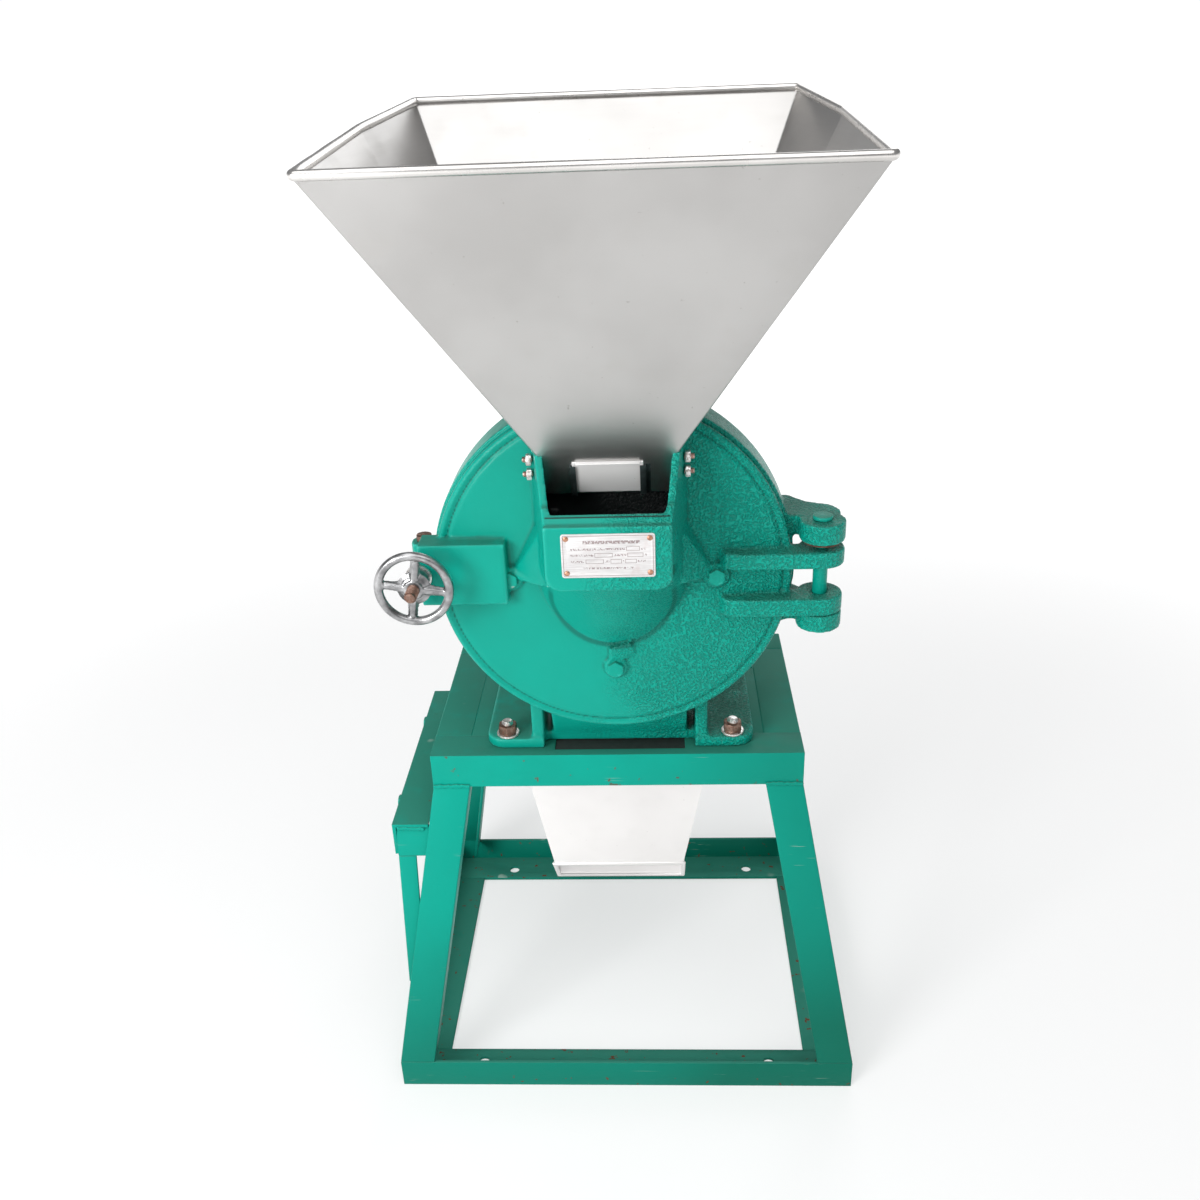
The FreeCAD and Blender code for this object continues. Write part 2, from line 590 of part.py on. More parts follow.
screen = fuse(ring("screen_radius", "screen_radius - screen_wall", "screen_front",
                   "screen_back - screen_front"),
              ring("screen_radius + 2", "screen_radius - 1", "screen_front", 3),
              ring("screen_radius + 2", "screen_radius - 1", "screen_back - 3", 3))
slots = []
for index in range(60):
    slot = Part.makeBox(12, size("screen_back - screen_front") - 14, 2.4,
                        V(size("screen_radius") - 6, size("screen_front") + 7, -1.2))
    slot.rotate(V(0, 0, 0), V(0, 1, 0), 6 * index)
    slot.translate(V(AXIS_X, 0, AXIS_Z))
    slots.append(slot)
named(cut(screen, shaped(Part.makeCompound(slots))), "ring_screen")

# ---------------------------------------------------------------- door with its feed box
door_disc = fuse(rod("Y", "axis_x", f"{door_back} - door_rim", "axis_z", "door_radius",
                     "door_rim"),
                 cone("Y", "axis_x", "door_face", "axis_z", "door_radius - 5", "door_radius",
                      f"{door_back} - door_rim - door_face"),
                 cone("Y", "axis_x", "door_nose", "axis_z", "box_door_half + 12",
                      "door_radius - 5", "door_face - door_nose"))


def u_section(y, half, centre_z, top_z):
    """U outline across the feed box: a half-round bottom and two upright sides."""
    left = V(AXIS_X - half, y, centre_z)
    right = V(AXIS_X + half, y, centre_z)
    bottom = Part.Arc(left, V(AXIS_X, y, centre_z - half), right).toShape()
    top_left = V(AXIS_X - half, y, top_z)
    top_right = V(AXIS_X + half, y, top_z)
    return Part.Wire([bottom, Part.makeLine(right, top_right),
                      Part.makeLine(top_right, top_left), Part.makeLine(top_left, left)])


def feed_box(margin, front_y, back_y, top_z):
    """Solid of the feed box, or of its hollow when a wall is taken off all round."""
    span = size("box_front") - size("door_face")

    def station(y):
        share = (y - size("door_face")) / span
        half = size("box_door_half") + share * size("box_front_half - box_door_half")
        centre = AXIS_Z + share * (size("box_front_z") - AXIS_Z)
        return u_section(y, half - margin, centre, top_z)
    return Part.makeLoft([station(front_y), station(back_y)], True, True)


box_outside = shaped(feed_box(0, size("box_front"), size("door_face") + 2, size("box_top")))
box_hollow = shaped(feed_box(size("box_wall"), size("box_front + box_wall"),
                             size("door_nose"), size("box_top") + 20))
lip_y = size("box_front") + 10
slope_y = size("box_front") + 40
front_trim = shaped(prism([(-90, size("box_front") - 1, size("pad_high")),
                           (-90, lip_y, size("box_lip")),
                           (-90, lip_y + 4, size("box_lip")),
                           (-90, slope_y, size("box_top") - 2),
                           (-90, slope_y + 2, size("box_top") + 5),
                           (-90, size("box_front") - 1, size("box_top") + 5)], (190, 0, 0)))
pad = box("axis_x - box_front_half", "box_front - pad_proud", "pad_low",
          "2 * box_front_half", "pad_proud + 3", "pad_high - pad_low")
doc.recompute()
pad_round = doc.addObject("Part::Fillet", "Pad")
pad_round.Base = pad
pad_round.Edges = [(number, 14, 14) for number, edge in enumerate(pad.Shape.Edges, start=1)
                   if abs(edge.BoundBox.YLength - size("pad_proud + 3")) < 0.1
                   and edge.CenterOfMass.z < size("pad_low") + 1]


def door_arm(low, high):
    """Hinge arm of the door: a flat tongue from the door face to an eye on the pin."""
    tongue = prism([(104, -161, size(low)), (112, -176, size(low)),
                    (128, size("pin_y - eye_radius"), size(low)),
                    (size("pin_x"), size("pin_y - eye_radius"), size(low)),
                    (size("pin_x"), size("pin_y + 8"), size(low)),
                    (186, size("pin_y + 6"), size(low)),
                    (168, size(door_back), size(low)), (110, size(door_back), size(low))],
                   (0, 0, size(high) - size(low)))
    return fuse(shaped(tongue),
                rod("Z", "pin_x", "pin_y", low, "eye_radius", f"{high} - {low}"))


ear = box("clamp_x + 0.5", "ear_front", "clamp_z - ear_height / 2", "ear_inner - clamp_x - 0.5",
          f"{door_back} - ear_front - 1", "ear_height")
door_solid = fuse(door_disc, box_outside, pad_round, ear,
                  door_arm("top_arm_low", "top_arm_high"),
                  door_arm("low_arm_low", "low_arm_high"))

# ---------------------------------------------------------------- hopper outline, used by the door


def mirrored(half_outline, z_values):
    """Closed six-point outline from its right half, ordered round from the front."""
    right = [(AXIS_X + x, y, z) for (x, y), z in zip(half_outline, z_values)]
    left = [(AXIS_X - x, y, z) for (x, y), z in zip(half_outline, z_values)]
    return right + left[::-1]


FRONT_SLOPE = ((size("rim_front_y") - size("fold_front")) / (size("rim_front_z") - size("neck_fold")))


def front_wall_y(z):
    """Place of the hopper's straight front wall at a height."""
    return size("fold_front") + FRONT_SLOPE * (z - size("neck_fold"))


def rim_height(y):
    """Height of the rim, which rises towards the back in one plane."""
    rise = size("rim_back_z - rim_front_z") / size("rim_back_y - rim_front_y")
    return size("rim_front_z") + rise * (y - size("rim_front_y"))


def hopper_solid(inset):
    """Hopper as a solid; the inset draws every wall inward by a sheet thickness."""
    half = size("neck_half") - inset
    back = size("neck_back") - inset
    low_z = size("neck_low")
    fold_z = size("neck_fold")
    waist_z = size("waist_z")
    share = (waist_z - fold_z) / (size("rim_front_z") - fold_z)
    waist_half = size("neck_half") + share * size("rim_front_half - neck_half") - inset
    sections = []
    for z in (low_z, fold_z):
        front = front_wall_y(z) + inset
        sections.append(mirrored([(half, front), (half, (front + back) / 2), (half, back)],
                                 [z] * 3))
    sections.append(mirrored([(waist_half, front_wall_y(waist_z) + inset),
                              (waist_half - 2, -195), (80 - inset, back)], [waist_z] * 3))
    rim = [(size("rim_front_half") - inset, size("rim_front_y") + inset),
           (size("rim_side_half") - inset, size("rim_side_y")),
           (size("rim_back_half") - inset, size("rim_back_y") - inset)]
    sections.append(mirrored(rim, [rim_height(y) for x, y in rim]))
    return faceted(*sections)


SHEET = size("sheet")
gate_lean = math.degrees(math.atan(-FRONT_SLOPE))
gate_frame = FreeCAD.Placement(V(AXIS_X, front_wall_y(size("neck_low")), size("neck_low")),
                               FreeCAD.Rotation(V(1, 0, 0), gate_lean))


def on_front_wall(x, y, z, length, width, height):
    """Block laid out on the hopper's front wall: y is proud of it, z runs up along it."""
    block = Part.makeBox(length, width, height, V(x, y, z))
    block.Placement = gate_frame.multiply(block.Placement)
    return block


HOPPER_BOLT_Y = size("hopper_bolt_y")
hopper_bolt_holes = [rod("X", "axis_x - 100", "hopper_bolt_y", z, 3.2, 200)
                     for z in ("hopper_bolt_low", "hopper_bolt_high")]
hopper_room = shaped(hopper_solid(-0.3))
doc.recompute()

door_tools = [box_hollow, front_trim, hopper_room, *hopper_bolt_holes,
              rod("Y", "axis_x", "door_nose - 1", "axis_z", "throat_radius", 30),
              rod("Z", "pin_x", "pin_y", "low_lug_low - 5", "pin_radius + pin_fit", 140),
              box("clamp_x - 1", "ear_front - 5", "clamp_z - stud_radius - 1", 8.5, 60,
                  "2 * stud_radius + 2")]
door_tools += [rod("Y", x, "door_nose - 0.5", z, 4, 40)
               for x, z in bolt_places + [(sunk_screw[0], sunk_screw[2])]]
door_tools.append(cone("Y", *sunk_screw, 7.5, 4, 4))
door_tools += [hexagon("Y", x, "door_nose - 7", z, 7.5, 6.5) for x, z in bolt_places]
named(cut(door_solid, *door_tools), "door")

plate_x = "axis_x - plate_width / 2"
plate_y = "box_front - pad_proud - 0.8"
plate_z = "(pad_low + pad_high - plate_height) / 2 + 4"
rivet_places = [(f"axis_x + {sign} * (plate_width / 2 - 4.5)",
                 f"{plate_z} + plate_height / 2 + {up} * (plate_height / 2 - 4.5)")
                for sign in (-1, 1) for up in (-1, 1)]
named(cut(box(plate_x, plate_y, plate_z, "plate_width", 0.8, "plate_height"),
          *[rod("Y", x, "box_front - 20", z, 1.4, 20) for x, z in rivet_places]), "nameplate")
named(group(*[fuse(rod("Y", x, f"{plate_y} - 1", z, 2.6, 1), rod("Y", x, plate_y, z, 1.4, 0.8))
              for x, z in rivet_places]), "nameplate_rivets")

# ---------------------------------------------------------------- hinge pin and clamp
named(fuse(rod("Z", "pin_x", "pin_y", "low_lug_low - 3", "pin_radius",
               "top_lug_high - low_lug_low + 3"),
           rod("Z", "pin_x", "pin_y", "top_lug_high", "pin_radius + 2.5", 4)), "hinge_pin")
pin_slot = box("clamp_x - 10", "clamp_y - 0.8", "clamp_z + 24.5", 20, 1.6, 4)
named(cut(fuse(rod("Z", "clamp_x", "clamp_y", "clamp_z - 22", "clamp_pin_radius", 42),
               rod("Z", "clamp_x", "clamp_y", "clamp_z + 20", 7.5, 6)), pin_slot), "clamp_pin")
named(cut(fuse(rod("Z", "clamp_x", "clamp_y", "clamp_z - 7", 9.2, 14),
               rod("Y", "clamp_x", "stud_end", "clamp_z", "stud_radius",
                   "clamp_y - stud_end - 8")),
          rod("Z", "clamp_x", "clamp_y", "clamp_z - 20", "clamp_pin_radius + pin_fit", 40)),
      "swing_bolt")
washer_y = "ear_front - 3.3"
named(cut(rod("Y", "clamp_x", washer_y, "clamp_z", 13, 3),
          rod("Y", "clamp_x", "ear_front - 10", "clamp_z", "stud_radius + 0.08", 20)),
      "clamp_washer")

wheel_rim = doc.addObject("Part::Torus", "Rim")
wheel_rim.Placement.Rotation = TURNED["Y"]
bind(wheel_rim, Radius1="wheel_radius - wheel_grip", Radius2="wheel_grip")
at(wheel_rim, "clamp_x", "wheel_plane", "clamp_z")
spokes = []
for index in range(4):
    spoke = Part.makeBox(size("wheel_radius - wheel_grip"), 5, 8, V(0, -2.5, -4))
    spoke.rotate(V(0, 0, 0), V(0, 1, 0), 8 + 90 * index)
    spoke.translate(V(size("clamp_x"), size("wheel_plane"), size("clamp_z")))
    spokes.append(shaped(spoke))
hub_back = f"{washer_y} - 0.1"
hub = fuse(rod("Y", "clamp_x", "wheel_plane - 4", "clamp_z", 12,
               f"{hub_back} - wheel_plane + 4"), *spokes, wheel_rim)
named(cut(hub, rod("Y", "clamp_x", "stud_end - 5", "clamp_z", "stud_radius + 0.08", 80)),
      "handwheel")

# ---------------------------------------------------------------- hopper, gate and discharge spout
rim_corners = mirrored([(size("rim_front_half"), size("rim_front_y")),
                        (size("rim_side_half"), size("rim_side_y")),
                        (size("rim_back_half"), size("rim_back_y"))],
                       [rim_height(size(f"rim_{place}_y")) for place in ("front", "side", "back")])
WIRE = size("wire_radius")


def wire_loop(corners, radius):
    """Round wire bent round a closed loop of corners; it starts halfway along the last side."""
    start = (V(*corners[-1]) + V(*corners[0])) * 0.5
    path = Part.makePolygon([start] + [V(*corner) for corner in corners] + [start])
    circle = Part.makeCircle(radius, start, V(*corners[0]) - start)
    return path.makePipeShell([Part.Wire(circle)], True, False, 1)


rim_wire = wire_loop(rim_corners, WIRE)
hopper_shell = hopper_solid(0).cut(hopper_solid(SHEET)).cut(rim_wire)
floor_z = size("neck_low") + 1
floor_half = size("neck_half") - 0.5
floor_front = front_wall_y(floor_z) + SHEET / 2
floor_back = size("neck_back") - 0.5
floor_plate = prism([(AXIS_X - floor_half, floor_front, floor_z),
                     (AXIS_X + floor_half, floor_front, floor_z),
                     (AXIS_X + floor_half, floor_back, floor_z),
                     (AXIS_X - floor_half, floor_back, floor_z)], (0, 0, SHEET))
hopper_shell = hopper_shell.fuse(floor_plate)
gate_half = size("gate_half")
feed_slot = on_front_wall(-gate_half + 4, -4, 5, 2 * gate_half - 8, 8, 26)
hopper_base = shaped(hopper_shell.cut(feed_slot))
named(cut(hopper_base, *hopper_bolt_holes), "hopper")
named(shaped(rim_wire), "hopper_rim_wire")

hopper_bolts = []
hopper_nuts = []
inner = size("neck_half") - SHEET
for sign in (-1, 1):
    nut_x = "axis_x + nut_seat" if sign > 0 else "axis_x - nut_seat - 5"
    for alias in ("hopper_bolt_low", "hopper_bolt_high"):
        z = size(alias)
        reach = Part.makeCylinder(3, 24, V(AXIS_X + sign * (inner - 2), HOPPER_BOLT_Y, z),
                                  V(sign, 0, 0))
        head = Part.makeCylinder(5, 3, V(AXIS_X + sign * (inner - 5), HOPPER_BOLT_Y, z),
                                 V(sign, 0, 0))
        hopper_bolts.append(shaped(reach.fuse(head)))
        hopper_nuts.append(cut(hexagon("X", nut_x, "hopper_bolt_y", alias, 5.8, 5),
                               rod("X", "axis_x - 100", "hopper_bolt_y", alias, 3, 200)))
named(group(*hopper_bolts), "hopper_bolts")
named(group(*hopper_nuts), "hopper_nuts")

guides = []
for sign in (-1, 1):
    web = on_front_wall(sign * (gate_half + 3.5) - 3, -1.2, 0, 6, 1.2, 36)
    outer = on_front_wall(sign * (gate_half + 1.4) - 1, -4.4, 0, 2, 3.2, 36)
    hook = on_front_wall(sign * (gate_half - 1.3) - 1.8, -4.4, 0, 3.6, 1.2, 36)
    guides.append(web.fuse(outer).fuse(hook))
named(shaped(Part.makeCompound(guides)), "gate_guides")
gate_plate = on_front_wall(-gate_half, -2.2, 2, 2 * gate_half, 1.4, size("gate_length") - 2)
gate_lip = on_front_wall(-gate_half + 3, -11, size("gate_length") - 1.4,
                         2 * gate_half - 6, 10, 1.4)
named(shaped(gate_plate.fuse(gate_lip)), "slide_gate")

CHUTE_TOP = size("table_height - iron_wall")


def mouth_height(y):
    """Height of the spout's slanted lower mouth."""
    drop = size("chute_back_z - chute_front_z") / size("chute_low_back - chute_low_front")
    return size("chute_front_z") + drop * (y - size("chute_low_front"))


def chute_solid(inset):
    """Discharge spout as a solid between its mouth under the deck and its lower mouth."""
    top = [(AXIS_X + x, y, CHUTE_TOP) for x, y in (
        (-size("chute_top_half") + inset, -138 + inset),
        (size("chute_top_half") - inset, -138 + inset),
        (size("chute_top_half") - inset, -34 - inset),
        (-size("chute_top_half") + inset, -34 - inset))]
    low_half = size("chute_low_half") - inset
    low = [(AXIS_X + x, y, mouth_height(y)) for x, y in (
        (-low_half, size("chute_low_front") + inset), (low_half, size("chute_low_front") + inset),
        (low_half, size("chute_low_back") - inset), (-low_half, size("chute_low_back") - inset))]
    return faceted(low, top)


hem_corners = [(AXIS_X - size("chute_low_half"), size("chute_low_front"),
                size("chute_front_z")),
               (AXIS_X + size("chute_low_half"), size("chute_low_front"),
                size("chute_front_z")),
               (AXIS_X + size("chute_low_half"), size("chute_low_back"),
                size("chute_back_z")),
               (AXIS_X - size("chute_low_half"), size("chute_low_back"),
                size("chute_back_z"))]
chute = chute_solid(0).cut(chute_solid(SHEET)).fuse(wire_loop(hem_corners, 2.5))
named(shaped(chute), "discharge_chute")

# ---------------------------------------------------------------- check and export
doc.recompute()
for item in doc.Objects:
    bad = {"Invalid", "Error"}.intersection(item.State)
    if bad:
        raise RuntimeError(f"{item.Name} ({item.Label}) is {sorted(bad)}")
for node in nodes:
    shape = node.Shape
    if shape.isNull() or not shape.isValid() or not shape.Solids:
        raise RuntimeError(f"{node.Label} has no valid solid")
for node in nodes:
    node.Shape.exportStep(f"parts/{node.Label}.step")
    print(f"{node.Label}: {len(node.Shape.Solids)} solid(s), "
          f"{node.Shape.Volume / 1000:.1f} cm3")
print(len(nodes), "nodes")
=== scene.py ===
import math

import bpy
import bmesh
from mathutils import Matrix, Vector


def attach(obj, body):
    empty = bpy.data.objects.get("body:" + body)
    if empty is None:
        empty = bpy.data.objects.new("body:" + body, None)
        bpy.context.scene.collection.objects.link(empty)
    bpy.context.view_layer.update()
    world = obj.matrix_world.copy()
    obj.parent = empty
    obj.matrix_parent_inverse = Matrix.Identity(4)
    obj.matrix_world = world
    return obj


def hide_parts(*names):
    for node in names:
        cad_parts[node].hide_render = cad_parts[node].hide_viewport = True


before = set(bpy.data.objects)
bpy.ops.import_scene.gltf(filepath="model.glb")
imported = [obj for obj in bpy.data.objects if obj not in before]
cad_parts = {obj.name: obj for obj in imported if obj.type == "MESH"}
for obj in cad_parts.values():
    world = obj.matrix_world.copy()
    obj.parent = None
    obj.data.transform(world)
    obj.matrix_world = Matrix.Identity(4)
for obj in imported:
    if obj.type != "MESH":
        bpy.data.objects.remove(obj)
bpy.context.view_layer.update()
MM = 0.001
AXIS_X, AXIS_Z = 4, 642

# ---------------------------------------------------------------- studio
# A plain pale floor that glows, dim under the mill and bright farther out; the sky is bright low
# behind the mill and in one soft patch above.
# One lamp stands in front and to the left, with weaker ones overhead and behind.


class Wire:
    """One socket of a finish; arithmetic on it adds Math nodes."""

    def __init__(self, tree, socket=None):
        self.tree = tree
        self.socket = socket

    def add(self, kind, settings=None, inputs=None, output=0):
        """Add a node: its settings first, then the values or links of its inputs."""
        node = self.tree.nodes.new("ShaderNode" + kind)
        for name, value in (settings or {}).items():
            if name == "stops":
                for element, (place, colour) in zip(node.color_ramp.elements, value):
                    element.position = place
                    element.color = colour
            else:
                setattr(node, name, value)
        for name, value in (inputs or {}).items():
            if isinstance(value, Wire):
                self.tree.links.new(value.socket, node.inputs[name])
            else:
                node.inputs[name].default_value = value
        return Wire(self.tree, node.outputs[output]) if node.outputs else None

    def math(self, operation, first, second=0.0):
        return self.add("Math", {"operation": operation}, {0: first, 1: second})

    def __add__(self, other):
        return self.math("ADD", self, other)

    def __sub__(self, other):
        return self.math("SUBTRACT", self, other)

    def __rsub__(self, other):
        return self.math("SUBTRACT", other, self)

    def __mul__(self, other):
        return self.math("MULTIPLY", self, other)

    def __abs__(self):
        return self.math("ABSOLUTE", self)

    def __gt__(self, other):
        return self.math("GREATER_THAN", self, other)

    __radd__ = __add__
    __rmul__ = __mul__


def rise(value, low, high):
    """Smooth step of a value from 0 at low to 1 at high."""
    return value.add("MapRange", {"interpolation_type": "SMOOTHSTEP"},
                     {"Value": value, "From Min": low, "From Max": high})


def mixed(share, first, second):
    """Colour between two colours."""
    return share.add("Mix", {"data_type": "RGBA"}, {0: share, 6: first, 7: second}, 2)


def axes(vector):
    """The x, y and z of a vector."""
    return [vector.add("SeparateXYZ", inputs={0: vector}, output=index) for index in range(3)]


world = bpy.data.worlds.new("Studio")
bpy.context.scene.world = world
world.use_nodes = True
sky = Wire(world.node_tree)
away, height = axes(sky.add("TexCoord", output=0))[1:]
wall_light = rise(away * 0.2 - height * 4, -0.75, -0.1)
glow = mixed(wall_light, (0.24, 0.245, 0.25, 1), (1.02, 1.02, 1.02, 1))
glow = mixed(rise(height - away * 0.4, 0.80, 1.05), glow, (2.2, 2.2, 2.2, 1))
world.node_tree.links.new(glow.socket, world.node_tree.nodes["Background"].inputs["Color"])

bpy.ops.object.select_all(action="DESELECT")
bpy.ops.mesh.primitive_plane_add(size=240)
floor = bpy.context.object
floor.name = "floor"
pale = bpy.data.materials.new("pale floor")
pale.use_nodes = True
pale_shader = pale.node_tree.nodes["Principled BSDF"]
pale_shader.inputs["Base Color"].default_value = (0.50, 0.50, 0.50, 1)
pale_shader.inputs["Roughness"].default_value = 0.7
pale_shader.inputs["Emission Strength"].default_value = 1.0
ground = Wire(pale.node_tree)
across, away = axes(ground.add("TexCoord", output=3))[:2]
spread = ground.math("SQRT", across * across + away * away)
# The floor glows as painted light: dim under the mill and bright farther out.
lit = mixed(rise(spread, 0.9, 3.2), (0.44, 0.44, 0.44, 1), (0.95, 0.95, 0.95, 1))
pale.node_tree.links.new(lit.socket, pale_shader.inputs["Emission Color"])
floor.data.materials.append(pale)

for lamp_name, place, width, power in (("key lamp", (-1.35, -1.75, 1.25), 0.9, 34),
                                       ("overhead lamp", (0.1, -1.5, 3.0), 2.2, 9),
                                       ("back lamp", (0.6, 2.4, 2.0), 1.5, 12)):
    lamp = bpy.data.objects.new(lamp_name, bpy.data.lights.new(lamp_name, "AREA"))
    lamp.data.size = width
    lamp.data.energy = power
    lamp.location = place
    lamp.rotation_euler = (Vector((0, 0, 0.55)) - Vector(place)).to_track_quat("-Z", "Y").to_euler()
    bpy.context.scene.collection.objects.link(lamp)

# The camera stands in front and looks down at the mill, turned a little to its left.
YAW, PITCH, ROLL = math.radians(-3.136), math.radians(26.176), math.radians(-2.311)
ahead = Vector((math.sin(YAW) * math.cos(PITCH), math.cos(YAW) * math.cos(PITCH),
                -math.sin(PITCH)))
level = Vector((math.cos(YAW), -math.sin(YAW), 0))
over = level.cross(ahead)
camera = bpy.data.objects.new("camera", bpy.data.cameras.new("camera"))
camera.data.lens = 34.5
camera.data.sensor_width = 36
turn = Matrix((level * math.cos(ROLL) + over * math.sin(ROLL),
               over * math.cos(ROLL) - level * math.sin(ROLL), -ahead)).transposed()
camera.matrix_world = Matrix.Translation((0.0459, -1.1725, 1.1126)) @ turn.to_4x4()
bpy.context.scene.collection.objects.link(camera)
bpy.context.scene.camera = camera
bpy.context.scene.view_settings.view_transform = "Standard"

# ---------------------------------------------------------------- stand irons
# Rolled angle iron and flat bar, sawn and arc welded, then brushed over in green enamel.
# Rolled iron has a rounded heel and toes, so every edge is eased.


def alone(piece):
    """Make one object the only selected and active one."""
    bpy.ops.object.select_all(action="DESELECT")
    piece.select_set(True)
    bpy.context.view_layer.objects.active = piece
    return piece


def begin(primitive, **settings):
    """Deselect everything and add a primitive in millimetres, ready to be shaped."""
    bpy.ops.object.select_all(action="DESELECT")
    for key, value in settings.items():
        if key in ("size", "radius", "radius1", "radius2", "depth", "major_radius",
                   "minor_radius"):
            settings[key] = value * MM
        elif key == "location":
            settings[key] = [part * MM for part in value]
    getattr(bpy.ops.mesh, f"primitive_{primitive}_add")(**settings)
    return bpy.context.object


def modify(piece, kind, **settings):
    """Add a modifier to a piece and apply it."""
    alone(piece)
    step = piece.modifiers.new(kind.title(), kind)
    for key, value in settings.items():
        setattr(step, key, value)
    bpy.ops.object.modifier_apply(modifier=step.name)
    return piece


def with_parts(piece, parts):
    """Join other solids to a piece, which stays the active one."""
    alone(piece)
    if parts:
        for part in parts:
            part.select_set(True)
        bpy.ops.object.join()
    return piece


def cut(piece, tool):
    """Cut a piece with a tool, which is used up."""
    modify(piece, "BOOLEAN", operation="DIFFERENCE", object=tool)
    bpy.data.objects.remove(tool)
    return piece


def traced(*names):
    """Joined copy of CAD nodes as clean closed shapes, with flat faces made whole."""
    copies = []
    for name in names:
        copied = bpy.data.objects.new(name + " copy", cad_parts[name].data.copy())
        bpy.context.scene.collection.objects.link(copied)
        copies.append(copied)
    with_parts(copies[0], copies[1:])
    bpy.ops.mesh.customdata_custom_splitnormals_clear()
    bpy.ops.object.mode_set(mode="EDIT")
    bpy.ops.mesh.select_all(action="SELECT")
    bpy.ops.mesh.remove_doubles(threshold=2e-6)
    bpy.ops.mesh.dissolve_limited(angle_limit=math.radians(0.5))
    bpy.ops.object.mode_set(mode="OBJECT")
    return copies[0]


def eased(piece, width, segments=2, sharp=30):
    """Round over every edge sharper than an angle."""
    return modify(piece, "BEVEL", width=width * MM, segments=segments,
                  limit_method="ANGLE", angle_limit=math.radians(sharp))


def fitted(piece, name, body, slot, finish, *nodes, smooth=38):
    """Finish a piece: place in its mesh, smooth shading, finish, and the body it rides on."""
    alone(piece)
    bpy.ops.object.transform_apply(location=True, rotation=True, scale=True)
    bpy.ops.object.shade_smooth_by_angle(angle=math.radians(smooth))
    piece.name = name
    piece.data.materials.clear()
    piece.data.materials.append(finish)
    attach(piece, body)
    if nodes:
        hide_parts(*nodes)
    return piece


def dressed(node, width, segments, name, body, slot, finish):
    """Finish a CAD node's copy with no more than its edges rounded over."""
    return fitted(eased(traced(node), width, segments), name, body, slot, finish, node)


def opened(name):
    """New finish and the wire of its object coordinates."""
    finish = bpy.data.materials.new(name)
    finish.use_nodes = True
    return finish, Wire(finish.node_tree).add("TexCoord", output=3)


def closed(finish, colour, roughness, metallic=0.0, normal=None, **fixed):
    """Join the wires of a finish to its shader; what is fixed is set on the sockets."""
    shader = finish.node_tree.nodes["Principled BSDF"]
    wired = {"Base Color": colour, "Roughness": roughness, "Metallic": metallic}
    if normal:
        wired["Normal"] = normal
    wired.update({key.replace("_", " "): value for key, value in fixed.items()})
    for key, value in wired.items():
        if isinstance(value, Wire):
            finish.node_tree.links.new(value.socket, shader.inputs[key])
        else:
            shader.inputs[key].default_value = value
    return finish


def noise(place, scale, detail=2.0, stretch=None):
    """Noise of a scale per metre, drawn out along an axis when a stretch is given."""
    if stretch:
        place = place.add("Mapping", inputs={"Vector": place, "Scale": stretch})
    return place.add("TexNoise", inputs={"Vector": place, "Scale": scale, "Detail": detail})


def relief(height, depth, strength=1.0, below=None):
    """Bump of a depth in millimetres, over another bump when one is given."""
    inputs = {"Strength": strength, "Distance": depth * MM, "Height": height}
    if below:
        inputs["Normal"] = below
    return height.add("Bump", inputs=inputs)


GREEN = (0.001, 0.320, 0.242, 1)
DEEP_GREEN = (0.004, 0.225, 0.170, 1)
DUSTY_GREEN = (0.030, 0.190, 0.140, 1)
SHADE_GREEN = (0.002, 0.135, 0.090, 1)
RUST = (0.115, 0.048, 0.028, 1)
PIT_AND_SHADE_GREEN = (0.003, 0.120, 0.090, 1)
HIGHLIGHT_GREEN = (0.045, 0.520, 0.420, 1)
BOX_SHADE_BLACK = (0.010, 0.012, 0.012, 1)
PALE_SCRATCH = (0.30, 0.42, 0.36, 1)


def stand_paint(name):
    """Brushed enamel: faint brush lines, painted shade low down and to the right, dust on top
    faces, rust at the foot and scratches.
    """
    finish, place = opened(name)
    x, y, z = axes(place)
    patch = noise(place, 14, 4)
    colour = mixed(rise(patch, 0.20, 0.80) * 0.3 + 0.7, DEEP_GREEN, GREEN)
    # Painted shade: darker towards the bottom and to the right, where the light falls off.
    painted_low_right_shade = (1 - rise(z, 0.0, 0.30)) * 0.75 + rise(x, 0.0, 0.2) * 0.4
    colour = mixed(painted_low_right_shade, colour, SHADE_GREEN)
    facing = axes(place.add("NewGeometry", output=1))[2]
    dust = rise(facing, 0.5, 0.95) * (rise(noise(place, 38, 5), 0.18, 0.50) * 0.4 + 0.6)
    colour = mixed(dust * 0.9, colour, DUSTY_GREEN)
    edge = place.add("NewGeometry", output=7)
    chip = rise(edge, 0.56, 0.66) * rise(noise(place, 90, 4), 0.64, 0.70)
    lines = noise(place, 30, 3, (1.6, 1.6, 14.0))
    tilt = place.add("Mapping", inputs={"Vector": place, "Rotation": (0, 0.62, 0),
                                        "Scale": (2.0, 2.0, 60.0)})
    scratch = rise(noise(tilt, 9, 2), 0.66, 0.70) * rise(noise(place, 11, 2), 0.56, 0.66)
    colour = mixed(scratch * 0.8, colour, PALE_SCRATCH)
    low = 1 - rise(z, 0.002, 0.030)
    rust = rise(noise(place, 120, 5), 0.63, 0.70) * low + chip * 0.7
    colour = mixed(rise(rust, 0.3, 0.9), colour, RUST)
    peel = relief(noise(place, 260, 3), 0.22, 0.55)
    brushed = relief(lines, 0.25, 0.35, peel)
    rough = 0.34 + patch * 0.16 + rust * 0.3 + dust * 0.12
    return closed(finish, colour, rough, normal=brushed, Specular_IOR_Level=0.10)


